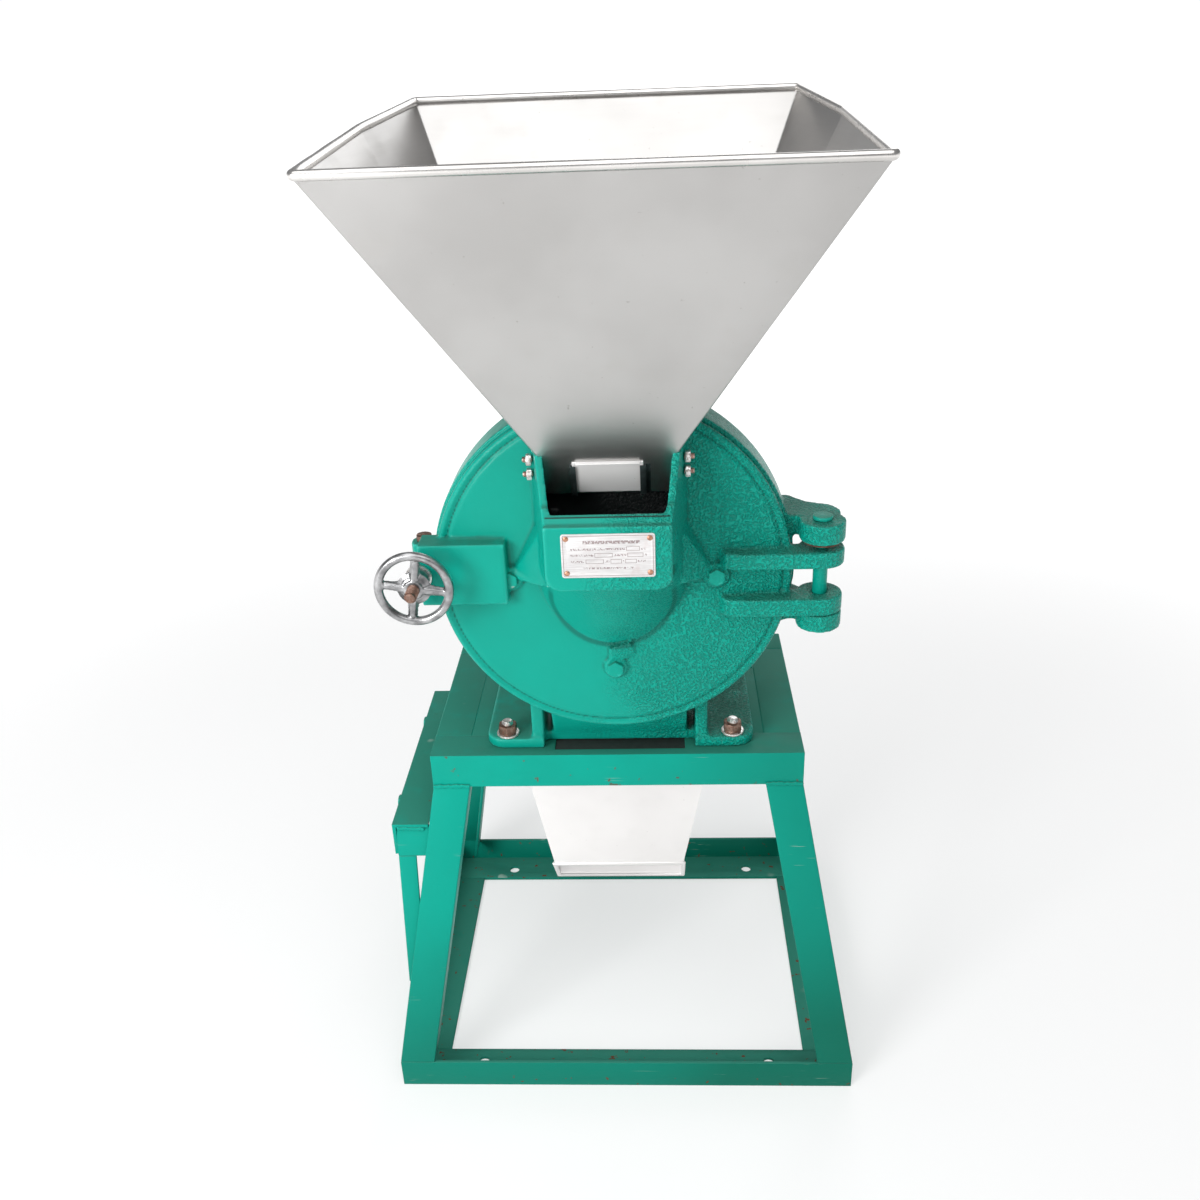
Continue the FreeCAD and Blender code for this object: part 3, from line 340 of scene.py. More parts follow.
STAND_PAINT = stand_paint("stand enamel")
for part in ("table_front_angle", "table_back_angle", "table_left_angle", "table_right_angle",
             "deck_plate", "base_front_angle", "base_back_angle", "base_left_angle",
             "base_right_angle", "front_left_leg", "front_right_leg", "back_left_leg",
             "back_right_leg", "motor_rail", "front_rail_arm", "back_rail_arm",
             "front_rail_strut", "back_rail_strut"):
    ease = 0.9 if part in ("deck_plate", "front_rail_arm", "back_rail_arm") else 1.4
    fitted(eased(traced(part), ease, 3), part + "_iron", "stand", "stand_paint",
           STAND_PAINT, part)

# ---------------------------------------------------------------- weld beads
# Stick welds where the irons meet, left as they were laid: a row of lapped ripples.
# They are painted over with the stand.
beads = []


def bead(start, end, width=5.0):
    """Lay a weld from one point to another, in millimetres."""
    run = Vector(end) - Vector(start)
    count = max(3, int(run.length / 3))
    ripples = []
    for index in range(count + 1):
        spot = Vector(start) + run * (index / count)
        wander = 0.5 * math.sin(index * 2.3 + start[0])
        ripple = begin("uv_sphere", segments=10, ring_count=6, radius=width / 2,
                       location=spot + Vector((0, 0, wander)))
        ripple.scale = (1.0 + 0.12 * math.sin(index * 1.7), 0.62, 1.0 + 0.15 * math.sin(index))
        ripples.append(ripple)
    beads.append(with_parts(ripples[0], ripples[1:]))


for side in (-1, 1):
    for front, rear in ((-147.6, -209), (123.6, 209)):
        bead((side * 198, front, 385), (side * 162, front, 385.5))
        bead((side * 260, rear * 0.9865, 37), (side * 226, rear * 0.9865, 37))
        inside = rear * 0.955
        bead((side * 260.5, inside, 37.5), (side * 260.5, inside - math.copysign(30, rear), 37))
for front in (-154, 131):
    bead((-243, front, 334), (-216, front, 333), 4.4)
    bead((-203, front - 2, 306), (-202, front, 332), 4.0)
weld = modify(with_parts(beads[0], beads[1:]), "REMESH", mode="VOXEL", voxel_size=0.8 * MM)
modify(weld, "SMOOTH", factor=0.5, iterations=2)
fitted(weld, "weld_beads", "stand", "stand_paint", STAND_PAINT, smooth=80)

# ---------------------------------------------------------------- mill casing
# Grey-iron casting: a drum with two feet, a flour neck between them and hinge and clamp lugs.
# It keeps the round corners of its sand mould and has a thick, hammered-looking coat.


def shaped_block(corners):
    """Eight-cornered block; its corners are given bottom ring first, in millimetres."""
    block = begin("cube", size=1)
    bpy.ops.object.mode_set(mode="EDIT")
    shape = bmesh.from_edit_mesh(block.data)
    ring = [(-1, -1), (1, -1), (1, 1), (-1, 1)]
    order = [(x, y, z) for z in (-1, 1) for x, y in ring]
    for vertex in shape.verts:
        sign = tuple(1 if part > 0 else -1 for part in vertex.co)
        vertex.co = Vector(corners[order.index(sign)]) * MM
    bpy.ops.mesh.select_all(action="SELECT")
    bpy.ops.mesh.normals_make_consistent(inside=False)
    bpy.ops.object.mode_set(mode="OBJECT")
    return block


def cast(piece, voxel, passes):
    """Turn a piece into one skin with the round inside and outside corners of a casting."""
    modify(piece, "REMESH", mode="VOXEL", voxel_size=voxel * MM)
    return modify(piece, "SMOOTH", factor=0.5, iterations=passes)


def cast_paint(name, hammered, gloss, shaded_box=False):
    """Thick enamel on rough iron, hammered to the right, where the dark pits also paint shade;
    painted shade in creases, painted highlights on edges, and with a shaded box painted shade in
    the tube's foot crease and inside the box.
    """
    finish, place = opened(name)
    x, y, z = axes(place)
    patch = noise(place, 11, 4)
    colour = mixed(rise(patch, 0.20, 0.80) * 0.35 + 0.65, DEEP_GREEN, GREEN)
    edge = place.add("NewGeometry", output=7)
    # Painted shade darkens the creases and hollows.
    crease_shade = 1 - rise(edge, 0.455, 0.495)
    colour = mixed(crease_shade * 0.85, colour, PIT_AND_SHADE_GREEN)
    # Painted highlight along the sharp edges.
    colour = mixed(rise(edge, 0.515, 0.57) * 0.45, colour, HIGHLIGHT_GREEN)
    facing = axes(place.add("NewGeometry", output=1))[2]
    dust = rise(facing, 0.55, 0.98) * rise(noise(place, 40, 5), 0.2, 0.55)
    colour = mixed(dust * 0.75, colour, DUSTY_GREEN)
    chip = rise(edge, 0.545, 0.60) * rise(noise(place, 70, 4), 0.60, 0.66)
    colour = mixed(chip * 0.85, colour, PALE_SCRATCH)
    # The hammered dimples lie to the right; their dark pits are also painted shade, darkening that
    # side where the light falls off.
    where = rise(x * 6.0 + noise(place, 13, 3) * 1.2, 0.35, 1.05) * hammered
    dimples = rise(noise(place, 430, 1.5), 0.36, 0.62)
    colour = mixed(where * (1 - dimples) * 0.5, colour, PIT_AND_SHADE_GREEN)
    if shaded_box:
        # Painted shade darkens the crease at the tube's foot, and the inside of the box is painted
        # black as shade.
        # Painted shade in a ring round the tube's foot on the door.
        low, out = z - 0.627, x - 0.004
        spread = place.math("SQRT", low * low + out * out)
        foot = rise(spread, 0.056, 0.058) * (1 - rise(spread, 0.0605, 0.064))
        foot = foot * (1 - rise(z, 0.636, 0.652)) * rise(y, -0.200, -0.185)
        colour = mixed(foot * 0.75, colour, PIT_AND_SHADE_GREEN)
        # Painted shade: the inside of the feed box is painted black.
        middle = 1 - rise(abs(x - 0.004) - (y + 0.242) * 0.1875, 0.0538, 0.0550)
        inside = middle * rise(y, -0.2392, -0.2384) * rise(z, 0.686, 0.694)
        inside = inside * (1 - rise(z, 0.7335, 0.7345))
        colour = mixed(inside, colour, BOX_SHADE_BLACK)
    sand = relief(noise(place, 150, 4), 0.5, 0.28)
    orange = relief(noise(place, 420, 2), 0.12, 0.5, sand)
    hammer = relief(dimples * where, 1.0, 1.0, orange)
    rough = gloss + patch * 0.14 + dust * 0.15 - where * 0.05
    return closed(finish, colour, rough, normal=hammer, Specular_IOR_Level=0.16)


CAST_PAINT = cast_paint("hammered casting enamel", 1.0, 0.27)
casing = traced("mill_casing")
collars = []
for lug_z, lug_depth in ((592.7, 17.4), (685, 19.8)):
    collars.append(begin("cylinder", vertices=40, radius=21, depth=lug_depth,
                         location=(203, -138, lug_z)))
    collars.append(shaped_block([
        (168, -150, lug_z - lug_depth / 2), (222, -146, lug_z - lug_depth / 2),
        (216, -120, lug_z - lug_depth / 2), (160, -96, lug_z - lug_depth / 2),
        (168, -150, lug_z + lug_depth / 2), (222, -146, lug_z + lug_depth / 2),
        (216, -120, lug_z + lug_depth / 2), (160, -96, lug_z + lug_depth / 2)]))
with_parts(casing, collars)
cast(casing, 2.3, 3)
fitted(casing, "casing_casting", "stand", "casting_paint", CAST_PAINT, "mill_casing", smooth=60)

# The door's seal is a rubber cord in the groove round the drum's mouth, painted over with it;
# the shaft's seal is left black.
finish, place = opened("black rubber")
SEAL_RUBBER = closed(finish, mixed(noise(place, 160, 3), (0.012, 0.012, 0.012, 1),
                                   (0.035, 0.034, 0.032, 1)),
                     0.62 + noise(place, 60) * 0.2, normal=relief(noise(place, 500, 3), 0.1))
dressed("door_seal", 0.8, 3, "seal_cord", "stand", "seal_rubber", CAST_PAINT)

# A thin black strip fills the gap between the drum's neck and the deck, as painted shade.
gap_shade_strip = begin("cube", size=1, location=(4, -125, 422.2))
gap_shade_strip.scale = (150, 30, 1.6)
bpy.ops.object.transform_apply(scale=True)
fitted(eased(gap_shade_strip, 0.4, 2), "neck_gap_shade_strip", "stand", "seal_rubber", SEAL_RUBBER)

# ---------------------------------------------------------------- foot fasteners
# M12 studs through the feet and the table, with pale washers and browned hexagon nuts.
# The thread is rolled, and the nut's corners are turned off at thirty degrees.


def nut(corner, depth):
    """Hexagon nut about Z, standing on the origin, its corners turned off at both faces."""
    blank = begin("cylinder", vertices=6, radius=corner, depth=depth,
                  location=(0, 0, depth / 2))
    turned = begin("cylinder", vertices=48, radius=corner, depth=depth,
                   location=(0, 0, depth / 2))
    bpy.ops.object.mode_set(mode="EDIT")
    bpy.ops.mesh.select_all(action="DESELECT")
    shape = bmesh.from_edit_mesh(turned.data)
    for edge in shape.edges:
        edge.select = abs(edge.verts[0].co.z - edge.verts[1].co.z) < 1e-6
    bmesh.update_edit_mesh(turned.data)
    bpy.ops.mesh.bevel(offset=corner * 0.16 * MM, segments=2, affect="EDGES")
    bpy.ops.object.mode_set(mode="OBJECT")
    modify(blank, "BOOLEAN", operation="INTERSECT", object=turned)
    bpy.data.objects.remove(turned)
    return eased(blank, 0.25, 2, 25)


def threaded(radius, length, pitch):
    """Threaded stud end about Z from the origin, with a chamfered tip and a rolled thread."""
    core = begin("cylinder", vertices=28, radius=radius - 0.55 * pitch, depth=length,
                 location=(0, 0, length / 2))
    eased(core, 0.5 * pitch, 2)
    ridge = begin("plane", size=pitch)
    bpy.ops.object.mode_set(mode="EDIT")
    shape = bmesh.from_edit_mesh(ridge.data)
    bmesh.ops.delete(shape, geom=[shape.verts[:][3]], context="VERTS")
    profile = ((radius - 0.62 * pitch, 0), (radius, 0.5 * pitch), (radius - 0.62 * pitch, pitch))
    ordered = [vertex for vertex in shape.verts if len(vertex.link_edges) == 1]
    middle = next(vertex for vertex in shape.verts if len(vertex.link_edges) == 2)
    for vertex, (out, up) in zip((ordered[0], middle, ordered[1]), profile):
        vertex.co = Vector((out, 0, up)) * MM
    bmesh.update_edit_mesh(ridge.data)
    bpy.ops.object.mode_set(mode="OBJECT")
    modify(ridge, "SCREW", axis="Z", angle=math.tau, screw_offset=pitch * MM,
           iterations=int(length / pitch) - 1, steps=20, render_steps=20, use_merge_vertices=True)
    modify(ridge, "SOLIDIFY", thickness=0.1 * MM, offset=-1)
    return with_parts(core, [ridge])


def placed(piece, spot, axis="Z"):
    """Set a piece modelled along Z at a point, along an axis, with its place in its mesh."""
    turn = {"Z": Matrix.Identity(4), "-Z": Matrix.Rotation(math.pi, 4, "X"),
            "Y": Matrix.Rotation(-math.pi / 2, 4, "X"),
            "-Y": Matrix.Rotation(math.pi / 2, 4, "X"),
            "X": Matrix.Rotation(math.pi / 2, 4, "Y"),
            "-X": Matrix.Rotation(-math.pi / 2, 4, "Y")}[axis]
    alone(piece)
    bpy.ops.object.transform_apply(location=True, rotation=True, scale=True)
    piece.data.transform(Matrix.Translation(Vector(spot) * MM) @ turn)
    return piece


def repeated(piece, spots, axis="Z"):
    """Copies of a piece at several points, joined into one; the first model is used up."""
    alone(piece)
    bpy.ops.object.transform_apply(location=True, rotation=True, scale=True)
    twins = []
    for spot in spots:
        twin = piece.copy()
        twin.data = piece.data.copy()
        bpy.context.scene.collection.objects.link(twin)
        twins.append(placed(twin, spot, axis))
    bpy.data.objects.remove(piece)
    return with_parts(twins[0], twins[1:])


def metal(name, light, dark, roughness, scale, stain=None, metallic=1.0):
    """Bare metal: a mottled colour, uneven polish and fine pits, with stains when given."""
    finish, place = opened(name)
    cloud = noise(place, scale, 4)
    colour = mixed(rise(cloud, 0.3, 0.7), dark, light)
    metalness = metallic
    rough = roughness + cloud * 0.22
    if stain:
        spot = rise(noise(place, scale * 3.1, 5), 0.50, 0.62)
        colour = mixed(spot * 0.85, colour, stain)
        metalness = metallic - spot * 0.7
        rough = rough + spot * 0.25
    pits = relief(noise(place, scale * 9, 4), 0.12, 0.5)
    return closed(finish, colour, rough, metalness, pits)


BROWNED_STEEL = metal("browned steel", (0.30, 0.20, 0.16, 1), (0.16, 0.10, 0.08, 1), 0.34, 180,
                      (0.16, 0.065, 0.035, 1))
ZINC = metal("zinc plate", (0.86, 0.85, 0.84, 1), (0.62, 0.60, 0.58, 1), 0.20, 140,
             (0.42, 0.34, 0.30, 1))
FEET = [(x, y) for x in (-117, 125) for y in (-122, 10)]
stud = threaded(6, 10.5, 1.75)
fitted(repeated(stud, [(x, y, 442.3) for x, y in FEET]), "foot_stud_ends", "stand",
       "zinc_plated_steel", ZINC)
heads = nut(10.5, 8)
fitted(repeated(heads, [(x, y, 412) for x, y in FEET]), "foot_bolt_heads", "stand",
       "zinc_plated_steel", BROWNED_STEEL, "foot_bolts")
fitted(repeated(nut(10.5, 10), [(x, y, 438.5) for x, y in FEET]), "hex_foot_nuts", "stand",
       "zinc_plated_steel", BROWNED_STEEL, "foot_nuts")
dressed("foot_washers", 0.5, 2, "plain_foot_washers", "stand", "zinc_plated_steel", ZINC)
# The rail's own bolts were painted over with the stand.
rail_heads = repeated(nut(9, 7), [(-250, y, 319) for y in (-85, 85)], "-X")
rail_tails = repeated(threaded(5, 15, 1.5), [(-246, y, 319) for y in (-85, 85)], "X")
fitted(with_parts(rail_heads, [rail_tails]), "painted_rail_bolts", "stand", "painted_fastener",
       STAND_PAINT, "rail_bolts")

# ---------------------------------------------------------------- bearing housing
# Cast tube bolted to the back of the drum, with two ball bearings, a cover and grease nipples.
# It is painted like the drum; the races, balls and shaft inside are bare ground steel.
housing = cast(traced("bearing_housing"), 1.9, 3)
fitted(housing, "housing_casting", "stand", "casting_paint", CAST_PAINT, "bearing_housing",
       smooth=60)
FASTENER_PAINT = cast_paint("painted fastener enamel", 0.2, 0.24)


def four_round(radius, y):
    """Four places at the corners of a square round the shaft's axis."""
    turns = [math.radians(turn) for turn in (45, 135, 225, 315)]
    return [(AXIS_X + radius * math.cos(turn), y, AXIS_Z + radius * math.sin(turn))
            for turn in turns]


fitted(repeated(nut(8, 6), four_round(60, -68), "Y"), "painted_housing_bolts", "stand",
       "painted_fastener", FASTENER_PAINT, "housing_bolts")
dressed("bearing_cover", 1.2, 3, "turned_bearing_cover", "stand", "casting_paint", CAST_PAINT)
screws = begin("cylinder", vertices=24, radius=5, depth=4, location=(0, 0, 2))
slot_tool = begin("cube", size=1, location=(0, 0, 4))
slot_tool.scale = (12, 1.2, 2.4)
cut(screws, slot_tool)
fitted(repeated(eased(screws, 0.35, 2), four_round(43, 72), "Y"), "slotted_cover_screws", "stand",
       "zinc_plated_steel", ZINC, "cover_screws")
BRASS = metal("nipple brass", (0.78, 0.56, 0.24, 1), (0.55, 0.38, 0.15, 1), 0.24, 150)
dressed("grease_nipples", 0.3, 2, "brass_nipples", "stand", "nipple_brass", BRASS)
GROUND_STEEL = metal("ground bearing steel", (0.72, 0.72, 0.73, 1), (0.60, 0.60, 0.61, 1), 0.10,
                     60)
dressed("bearing_outer_races", 0.5, 2, "outer_races", "stand", "bearing_steel", GROUND_STEEL)
dressed("shaft_seal", 0.5, 2, "lip_seal", "stand", "seal_rubber", SEAL_RUBBER)

# ---------------------------------------------------------------- rotor
# Turned shaft with the claw disc on its front end and the belt pulley on its back end.
# The disc is hard iron, dulled by grain; the pulley is cast iron with bright grooves.
dressed("bearing_inner_races", 0.4, 2, "inner_races", "rotor", "bearing_steel", GROUND_STEEL)
fitted(traced("bearing_balls"), "ball_sets", "rotor", "bearing_steel", GROUND_STEEL,
       "bearing_balls", smooth=80)


def turned_steel(name, light, dark, roughness, rust):
    """Lathe-turned metal about the mill axis: fine rings, and rust where it is not rubbed."""
    finish, place = opened(name)
    rings = noise(place, 900, 1, (0.02, 1.0, 0.02))
    cloud = noise(place, 45, 4)
    colour = mixed(rise(cloud, 0.3, 0.7), dark, light)
    spot = rise(noise(place, 70, 5), 0.66 - rust, 0.78 - rust)
    colour = mixed(spot * 0.8, colour, RUST)
    return closed(finish, colour, roughness + cloud * 0.15 + spot * 0.3, 1 - spot * 0.8,
                  relief(rings, 0.08, 0.6, relief(noise(place, 300, 3), 0.12, 0.4)))


TURNED_STEEL = turned_steel("turned shaft steel", (0.62, 0.61, 0.60, 1), (0.42, 0.41, 0.40, 1),
                            0.24, 0.06)
PULLEY_IRON = turned_steel("pulley iron", (0.40, 0.40, 0.40, 1), (0.25, 0.25, 0.25, 1), 0.36,
                           0.10)
DISC_IRON = turned_steel("disc iron", (0.34, 0.33, 0.32, 1), (0.20, 0.19, 0.18, 1), 0.42, 0.14)
dressed("main_shaft", 0.8, 3, "turned_shaft", "rotor", "machined_steel", TURNED_STEEL)
dressed("pulley_key", 0.5, 2, "shaft_key", "rotor", "machined_steel", TURNED_STEEL)
dressed("drive_pulley", 0.8, 2, "grooved_pulley", "rotor", "pulley_iron", PULLEY_IRON)
shaft_nut = placed(nut(20, 14), (AXIS_X, 167, AXIS_Z), "Y")
washer = begin("cylinder", vertices=48, radius=22, depth=3, location=(AXIS_X, 165.5, AXIS_Z),
               rotation=(math.pi / 2, 0, 0))
tail = placed(threaded(12, 22, 2), (AXIS_X, 165.8, AXIS_Z), "Y")
fitted(with_parts(shaft_nut, [eased(washer, 0.5, 2), tail]), "pulley_nut_and_washer", "rotor",
       "machined_steel", ZINC, "pulley_nut")
dressed("rotor_disc", 1.0, 2, "moving_claw_disc", "rotor", "disc_iron", DISC_IRON)
front_nut = placed(nut(17, 12), (AXIS_X, -111, AXIS_Z), "-Y")
fitted(front_nut, "claw_disc_nut", "rotor", "machined_steel", ZINC, "rotor_nut")

# ---------------------------------------------------------------- screen
# Ring of perforated sheet round the discs, rolled and spot welded between two hoops.
# The CAD shape is kept as it is and given a stained steel finish.
SCREEN_STEEL = metal("screen steel", (0.66, 0.65, 0.63, 1), (0.48, 0.47, 0.45, 1), 0.26, 80,
                     (0.28, 0.20, 0.14, 1))
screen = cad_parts["ring_screen"]
screen.data.materials.clear()
screen.data.materials.append(SCREEN_STEEL)

# ---------------------------------------------------------------- feed door
# Grey-iron door with the feed box and both hinge arms cast on in one piece.
# Webs run from the box to the disc bolts, and a rounded lip at the edge covers the seal.


# The tube's middle at its foot on the door and at the front of the box.
FOOT_Y, FOOT_Z = -166, 627
BOX_Y, BOX_Z = -242, 725


def tube_block(half, front, rear, top, low_by=0.0):
    """Solid with a half-round bottom that slopes down and back from the box to the door."""
    tube = begin("circle", vertices=48, radius=half, fill_type="NGON",
                 rotation=(math.pi / 2, 0, 0))
    bpy.ops.object.transform_apply(rotation=True)
    bpy.ops.object.mode_set(mode="EDIT")
    bpy.ops.mesh.select_all(action="SELECT")
    bpy.ops.mesh.extrude_region_move()
    shape = bmesh.from_edit_mesh(tube.data)
    for vertex in shape.verts:
        y = rear if vertex.select else front
        middle = FOOT_Z - low_by + (y - FOOT_Y) / (BOX_Y - FOOT_Y) * (BOX_Z - FOOT_Z)
        x, z = vertex.co.x / MM, vertex.co.z / MM
        raised = middle + z if z < 0.5 else top
        vertex.co = Vector((AXIS_X + x, y, raised)) * MM
    bmesh.update_edit_mesh(tube.data)
    bpy.ops.mesh.select_all(action="SELECT")
    bpy.ops.mesh.remove_doubles(threshold=1e-6)
    bpy.ops.mesh.normals_make_consistent(inside=False)
    bpy.ops.object.mode_set(mode="OBJECT")
    return tube


door = traced("door")
ribs = []
carving = tube_block(96, -239, -171, 670, low_by=20)
kept_tube = tube_block(57, -250, -150, 760)
cut(door, cut(carving, kept_tube))
shell = tube_block(57, -238, -160, 712)
ribs.append(cut(shell, tube_block(50, -236, -150, 730)))
for side in (-1, 1):
    near, front_far, rear_far = 4 + side * 52, 4 + side * 57, 4 + side * 70
    ribs.append(shaped_block([
        (near, -238, 666), (front_far, -238, 666), (rear_far, -166, 666), (near, -166, 666),
        (near, -238, 673), (front_far, -238, 673), (rear_far, -166, 673), (near, -166, 673)]))
for side in (-1, 1):
    ribs.append(begin("cylinder", vertices=32, radius=12, depth=5,
                      location=(AXIS_X + side * 100, -166.6, AXIS_Z), rotation=(math.pi / 2, 0, 0)))
    near, far = 4 + side * 66, 4 + side * 99
    ribs.append(shaped_block([
        (far, -168.5, 646), (near, -186, 642), (near, -162, 642), (far, -162, 640),
        (far - side * 6, -168, 654), (near, -193, 700), (near, -162, 712),
        (far - side * 5, -162, 652)]))
ribs.append(begin("cylinder", vertices=32, radius=11, depth=5,
                  location=(AXIS_X, -166.4, AXIS_Z - 100), rotation=(math.pi / 2, 0, 0)))
ribs.append(shaped_block([
    (-1, -168.0, 548), (24, -167.5, 556), (24, -162, 556), (-1, -162, 548),
    (-2, -172, 566), (20, -172, 572), (20, -162, 572), (-2, -162, 566)]))
ribs.append(begin("torus", major_radius=168.8, minor_radius=4.2, major_segments=120,
                  minor_segments=16, location=(AXIS_X, -157.4, AXIS_Z),
                  rotation=(math.pi / 2, 0, 0)))
with_parts(door, ribs)
cast(door, 1.7, 2)
# The door's enamel has painted shade inside the feed box and at the tube's foot.
DOOR_PAINT = cast_paint("hammered door enamel", 1.0, 0.27, shaded_box=True)
fitted(door, "door_casting", "door", "casting_paint", DOOR_PAINT, "door", smooth=60)

heads = [(AXIS_X - 100, -172.4, AXIS_Z), (AXIS_X + 100, -172.4, AXIS_Z),
         (AXIS_X, -172.4, AXIS_Z - 100)]
disc_heads = repeated(nut(8.6, 7.4), [(x, y - 1.2, z) for x, y, z in heads], "Y")
shanks = repeated(threaded(4, 24, 1.25), [(x, -166.2, z) for x, y, z in heads], "Y")
sunk = begin("cone", vertices=32, radius1=7.4, radius2=3.8, depth=4,
             location=(AXIS_X, -163.9, AXIS_Z + 100), rotation=(-math.pi / 2, 0, 0))
fitted(with_parts(disc_heads, [shanks, eased(sunk, 0.3, 2)]), "fixed_disc_bolts", "door",
       "painted_fastener", FASTENER_PAINT, "disc_bolts")
dressed("fixed_disc", 1.0, 2, "fixed_claw_disc", "door", "disc_iron", DISC_IRON)

# ---------------------------------------------------------------- nameplate
# Thin aluminium plate with rounded corners on four rivets.
# It is printed with a border, a heading bar and rows of plain dashes and boxes.
PLATE_Z = 701
finish, place = opened("printed aluminium")
x, y, z = axes(place)
across = x * 1000 - 4
up = z * 1000 - PLATE_Z


def band(value, centre, half):
    """One where a value lies within a half width of a centre, else nothing."""
    return value.add("Math", {"operation": "COMPARE"}, {0: value, 1: centre, 2: half})


dashes = noise(place, 1, 2, (900, 0.01, 420))
ink = band(up, 13.0, 1.5) * band(across, 3.0, 25) * (dashes > 0.44)
for row, reach in ((6.4, 33), (0.6, 34), (-5.4, 33), (-11.8, 22)):
    ink = ink + band(up, row, 0.95) * band(across, 0.0, reach) * (dashes > 0.50)
for row, boxes in ((6.6, ((22, 6),)), (0.6, ((-4, 8), (24, 7))), (-5.4, ((-12, 8), (7, 5),
                                                                         (20, 5)))):
    for centre, half in boxes:
        ring = band(across, centre, half) * band(up, row, 2.0)
        hole = band(across, centre, half - 0.5) * band(up, row, 1.5)
        ink = ink * (1 - band(across, centre, half + 1.0) * band(up, row, 2.6)) + ring - hole
border = 1 - band(across, 0.0, 39.4) * band(up, 0.0, 18.8)
inner = band(across, 0.0, 40.0) * band(up, 0.0, 19.4)
ink = rise(ink + border * inner, 0.2, 0.8)
brushed = noise(place, 60, 3, (1, 1, 26))
colour = mixed(rise(brushed, 0.3, 0.7), (0.60, 0.58, 0.58, 1), (0.76, 0.75, 0.75, 1))
tarnish = rise(noise(place, 110, 4), 0.52, 0.72)
colour = mixed(tarnish * 0.5, colour, (0.58, 0.50, 0.49, 1))
colour = mixed(ink * 0.75, colour, (0.16, 0.09, 0.09, 1))
PLATE = closed(finish, colour, 0.34 + brushed * 0.15, 0.62 - ink * 0.5,
               relief(brushed, 0.04, 0.5, relief(ink, 0.05, 0.4)))
plate = traced("nameplate")
alone(plate)
bpy.ops.object.mode_set(mode="EDIT")
bpy.ops.mesh.select_all(action="DESELECT")
shape = bmesh.from_edit_mesh(plate.data)
for edge in shape.edges:
    first, second = (vertex.co for vertex in edge.verts)
    corner = abs(abs(first.x - 4 * MM) - 41.5 * MM) < 1e-5 and abs(
        abs(first.z - PLATE_Z * MM) - 21 * MM) < 1e-5
    edge.select = corner and abs(first.x - second.x) < 1e-6 and abs(first.z - second.z) < 1e-6
bmesh.update_edit_mesh(plate.data)
bpy.ops.mesh.bevel(offset=2.5 * MM, segments=5, affect="EDGES")
bpy.ops.object.mode_set(mode="OBJECT")
fitted(eased(plate, 0.15, 2), "printed_plate", "door", "plate_aluminium", PLATE, "nameplate")
RIVET_BRASS = metal("coppery rivet", (0.66, 0.36, 0.24, 1), (0.36, 0.18, 0.12, 1), 0.26, 260)
rivet = begin("uv_sphere", segments=20, ring_count=12, radius=2.6)
rivet.scale = (1, 1, 0.42)
bpy.ops.object.transform_apply(scale=True)
bpy.ops.object.mode_set(mode="EDIT")
bpy.ops.mesh.select_all(action="SELECT")
bpy.ops.mesh.bisect(plane_co=(0, 0, -0.0002), plane_no=(0, 0, -1), clear_outer=True,
                    use_fill=True)
bpy.ops.object.mode_set(mode="OBJECT")
spots = [(AXIS_X + side * 37, -248.8, PLATE_Z + lift * 16.5)
         for side in (-1, 1) for lift in (-1, 1)]
fitted(repeated(rivet, spots, "-Y"), "plate_rivets", "door", "rivet_brass", RIVET_BRASS,
       "nameplate_rivets", smooth=70)

# ---------------------------------------------------------------- hinge pin and clamp
# The hinge pin is painted over with the casting; rust shows where the lugs rub.
# The clamp is a swing bolt on a slotted pin, with a washer and a die-cast handwheel.
pin = eased(traced("hinge_pin"), 1.4, 3)
fitted(pin, "painted_hinge_pin", "stand", "painted_fastener", FASTENER_PAINT, "hinge_pin")
rusty = metal("rusted rubbing ring", (0.16, 0.06, 0.03, 1), (0.07, 0.03, 0.02, 1), 0.7, 160,
              metallic=0.1)
shim = begin("cylinder", vertices=48, radius=18, depth=1.6, location=(204, -158, 673.4))
fitted(eased(shim, 0.5, 2), "hinge_rust_ring", "stand", "painted_fastener", rusty)
dressed("clamp_pin", 0.8, 3, "slotted_clamp_pin", "stand", "machined_steel", BROWNED_STEEL)
swing = eased(traced("swing_bolt"), 0.8, 3)
CLAMP_X, CLAMP_Z = -181.5, 652
thread = placed(threaded(6, 43, 1.75), (CLAMP_X, -185, CLAMP_Z), "-Y")
alone(swing)
bpy.ops.object.mode_set(mode="EDIT")
bpy.ops.mesh.select_all(action="SELECT")
bpy.ops.mesh.bisect(plane_co=(0, -0.1855, 0), plane_no=(0, -1, 0), clear_outer=True,
                    use_fill=True)
bpy.ops.object.mode_set(mode="OBJECT")
fitted(with_parts(swing, [thread]), "threaded_swing_bolt", "swing_bolt", "machined_steel",
       BROWNED_STEEL, "swing_bolt")
dressed("clamp_washer", 0.5, 2, "thick_clamp_washer", "clamp_washer", "zinc_plated_steel", ZINC)

# The wheel is die cast: a round rim, four ribbed spokes that swell into it, and a deep hub.
finish, place = opened("die-cast aluminium")
cloud = noise(place, 90, 4)
rubbed = noise(place, 260, 3, (1, 0.3, 1))
colour = mixed(rise(cloud, 0.3, 0.7), (0.22, 0.22, 0.225, 1), (0.48, 0.48, 0.485, 1))
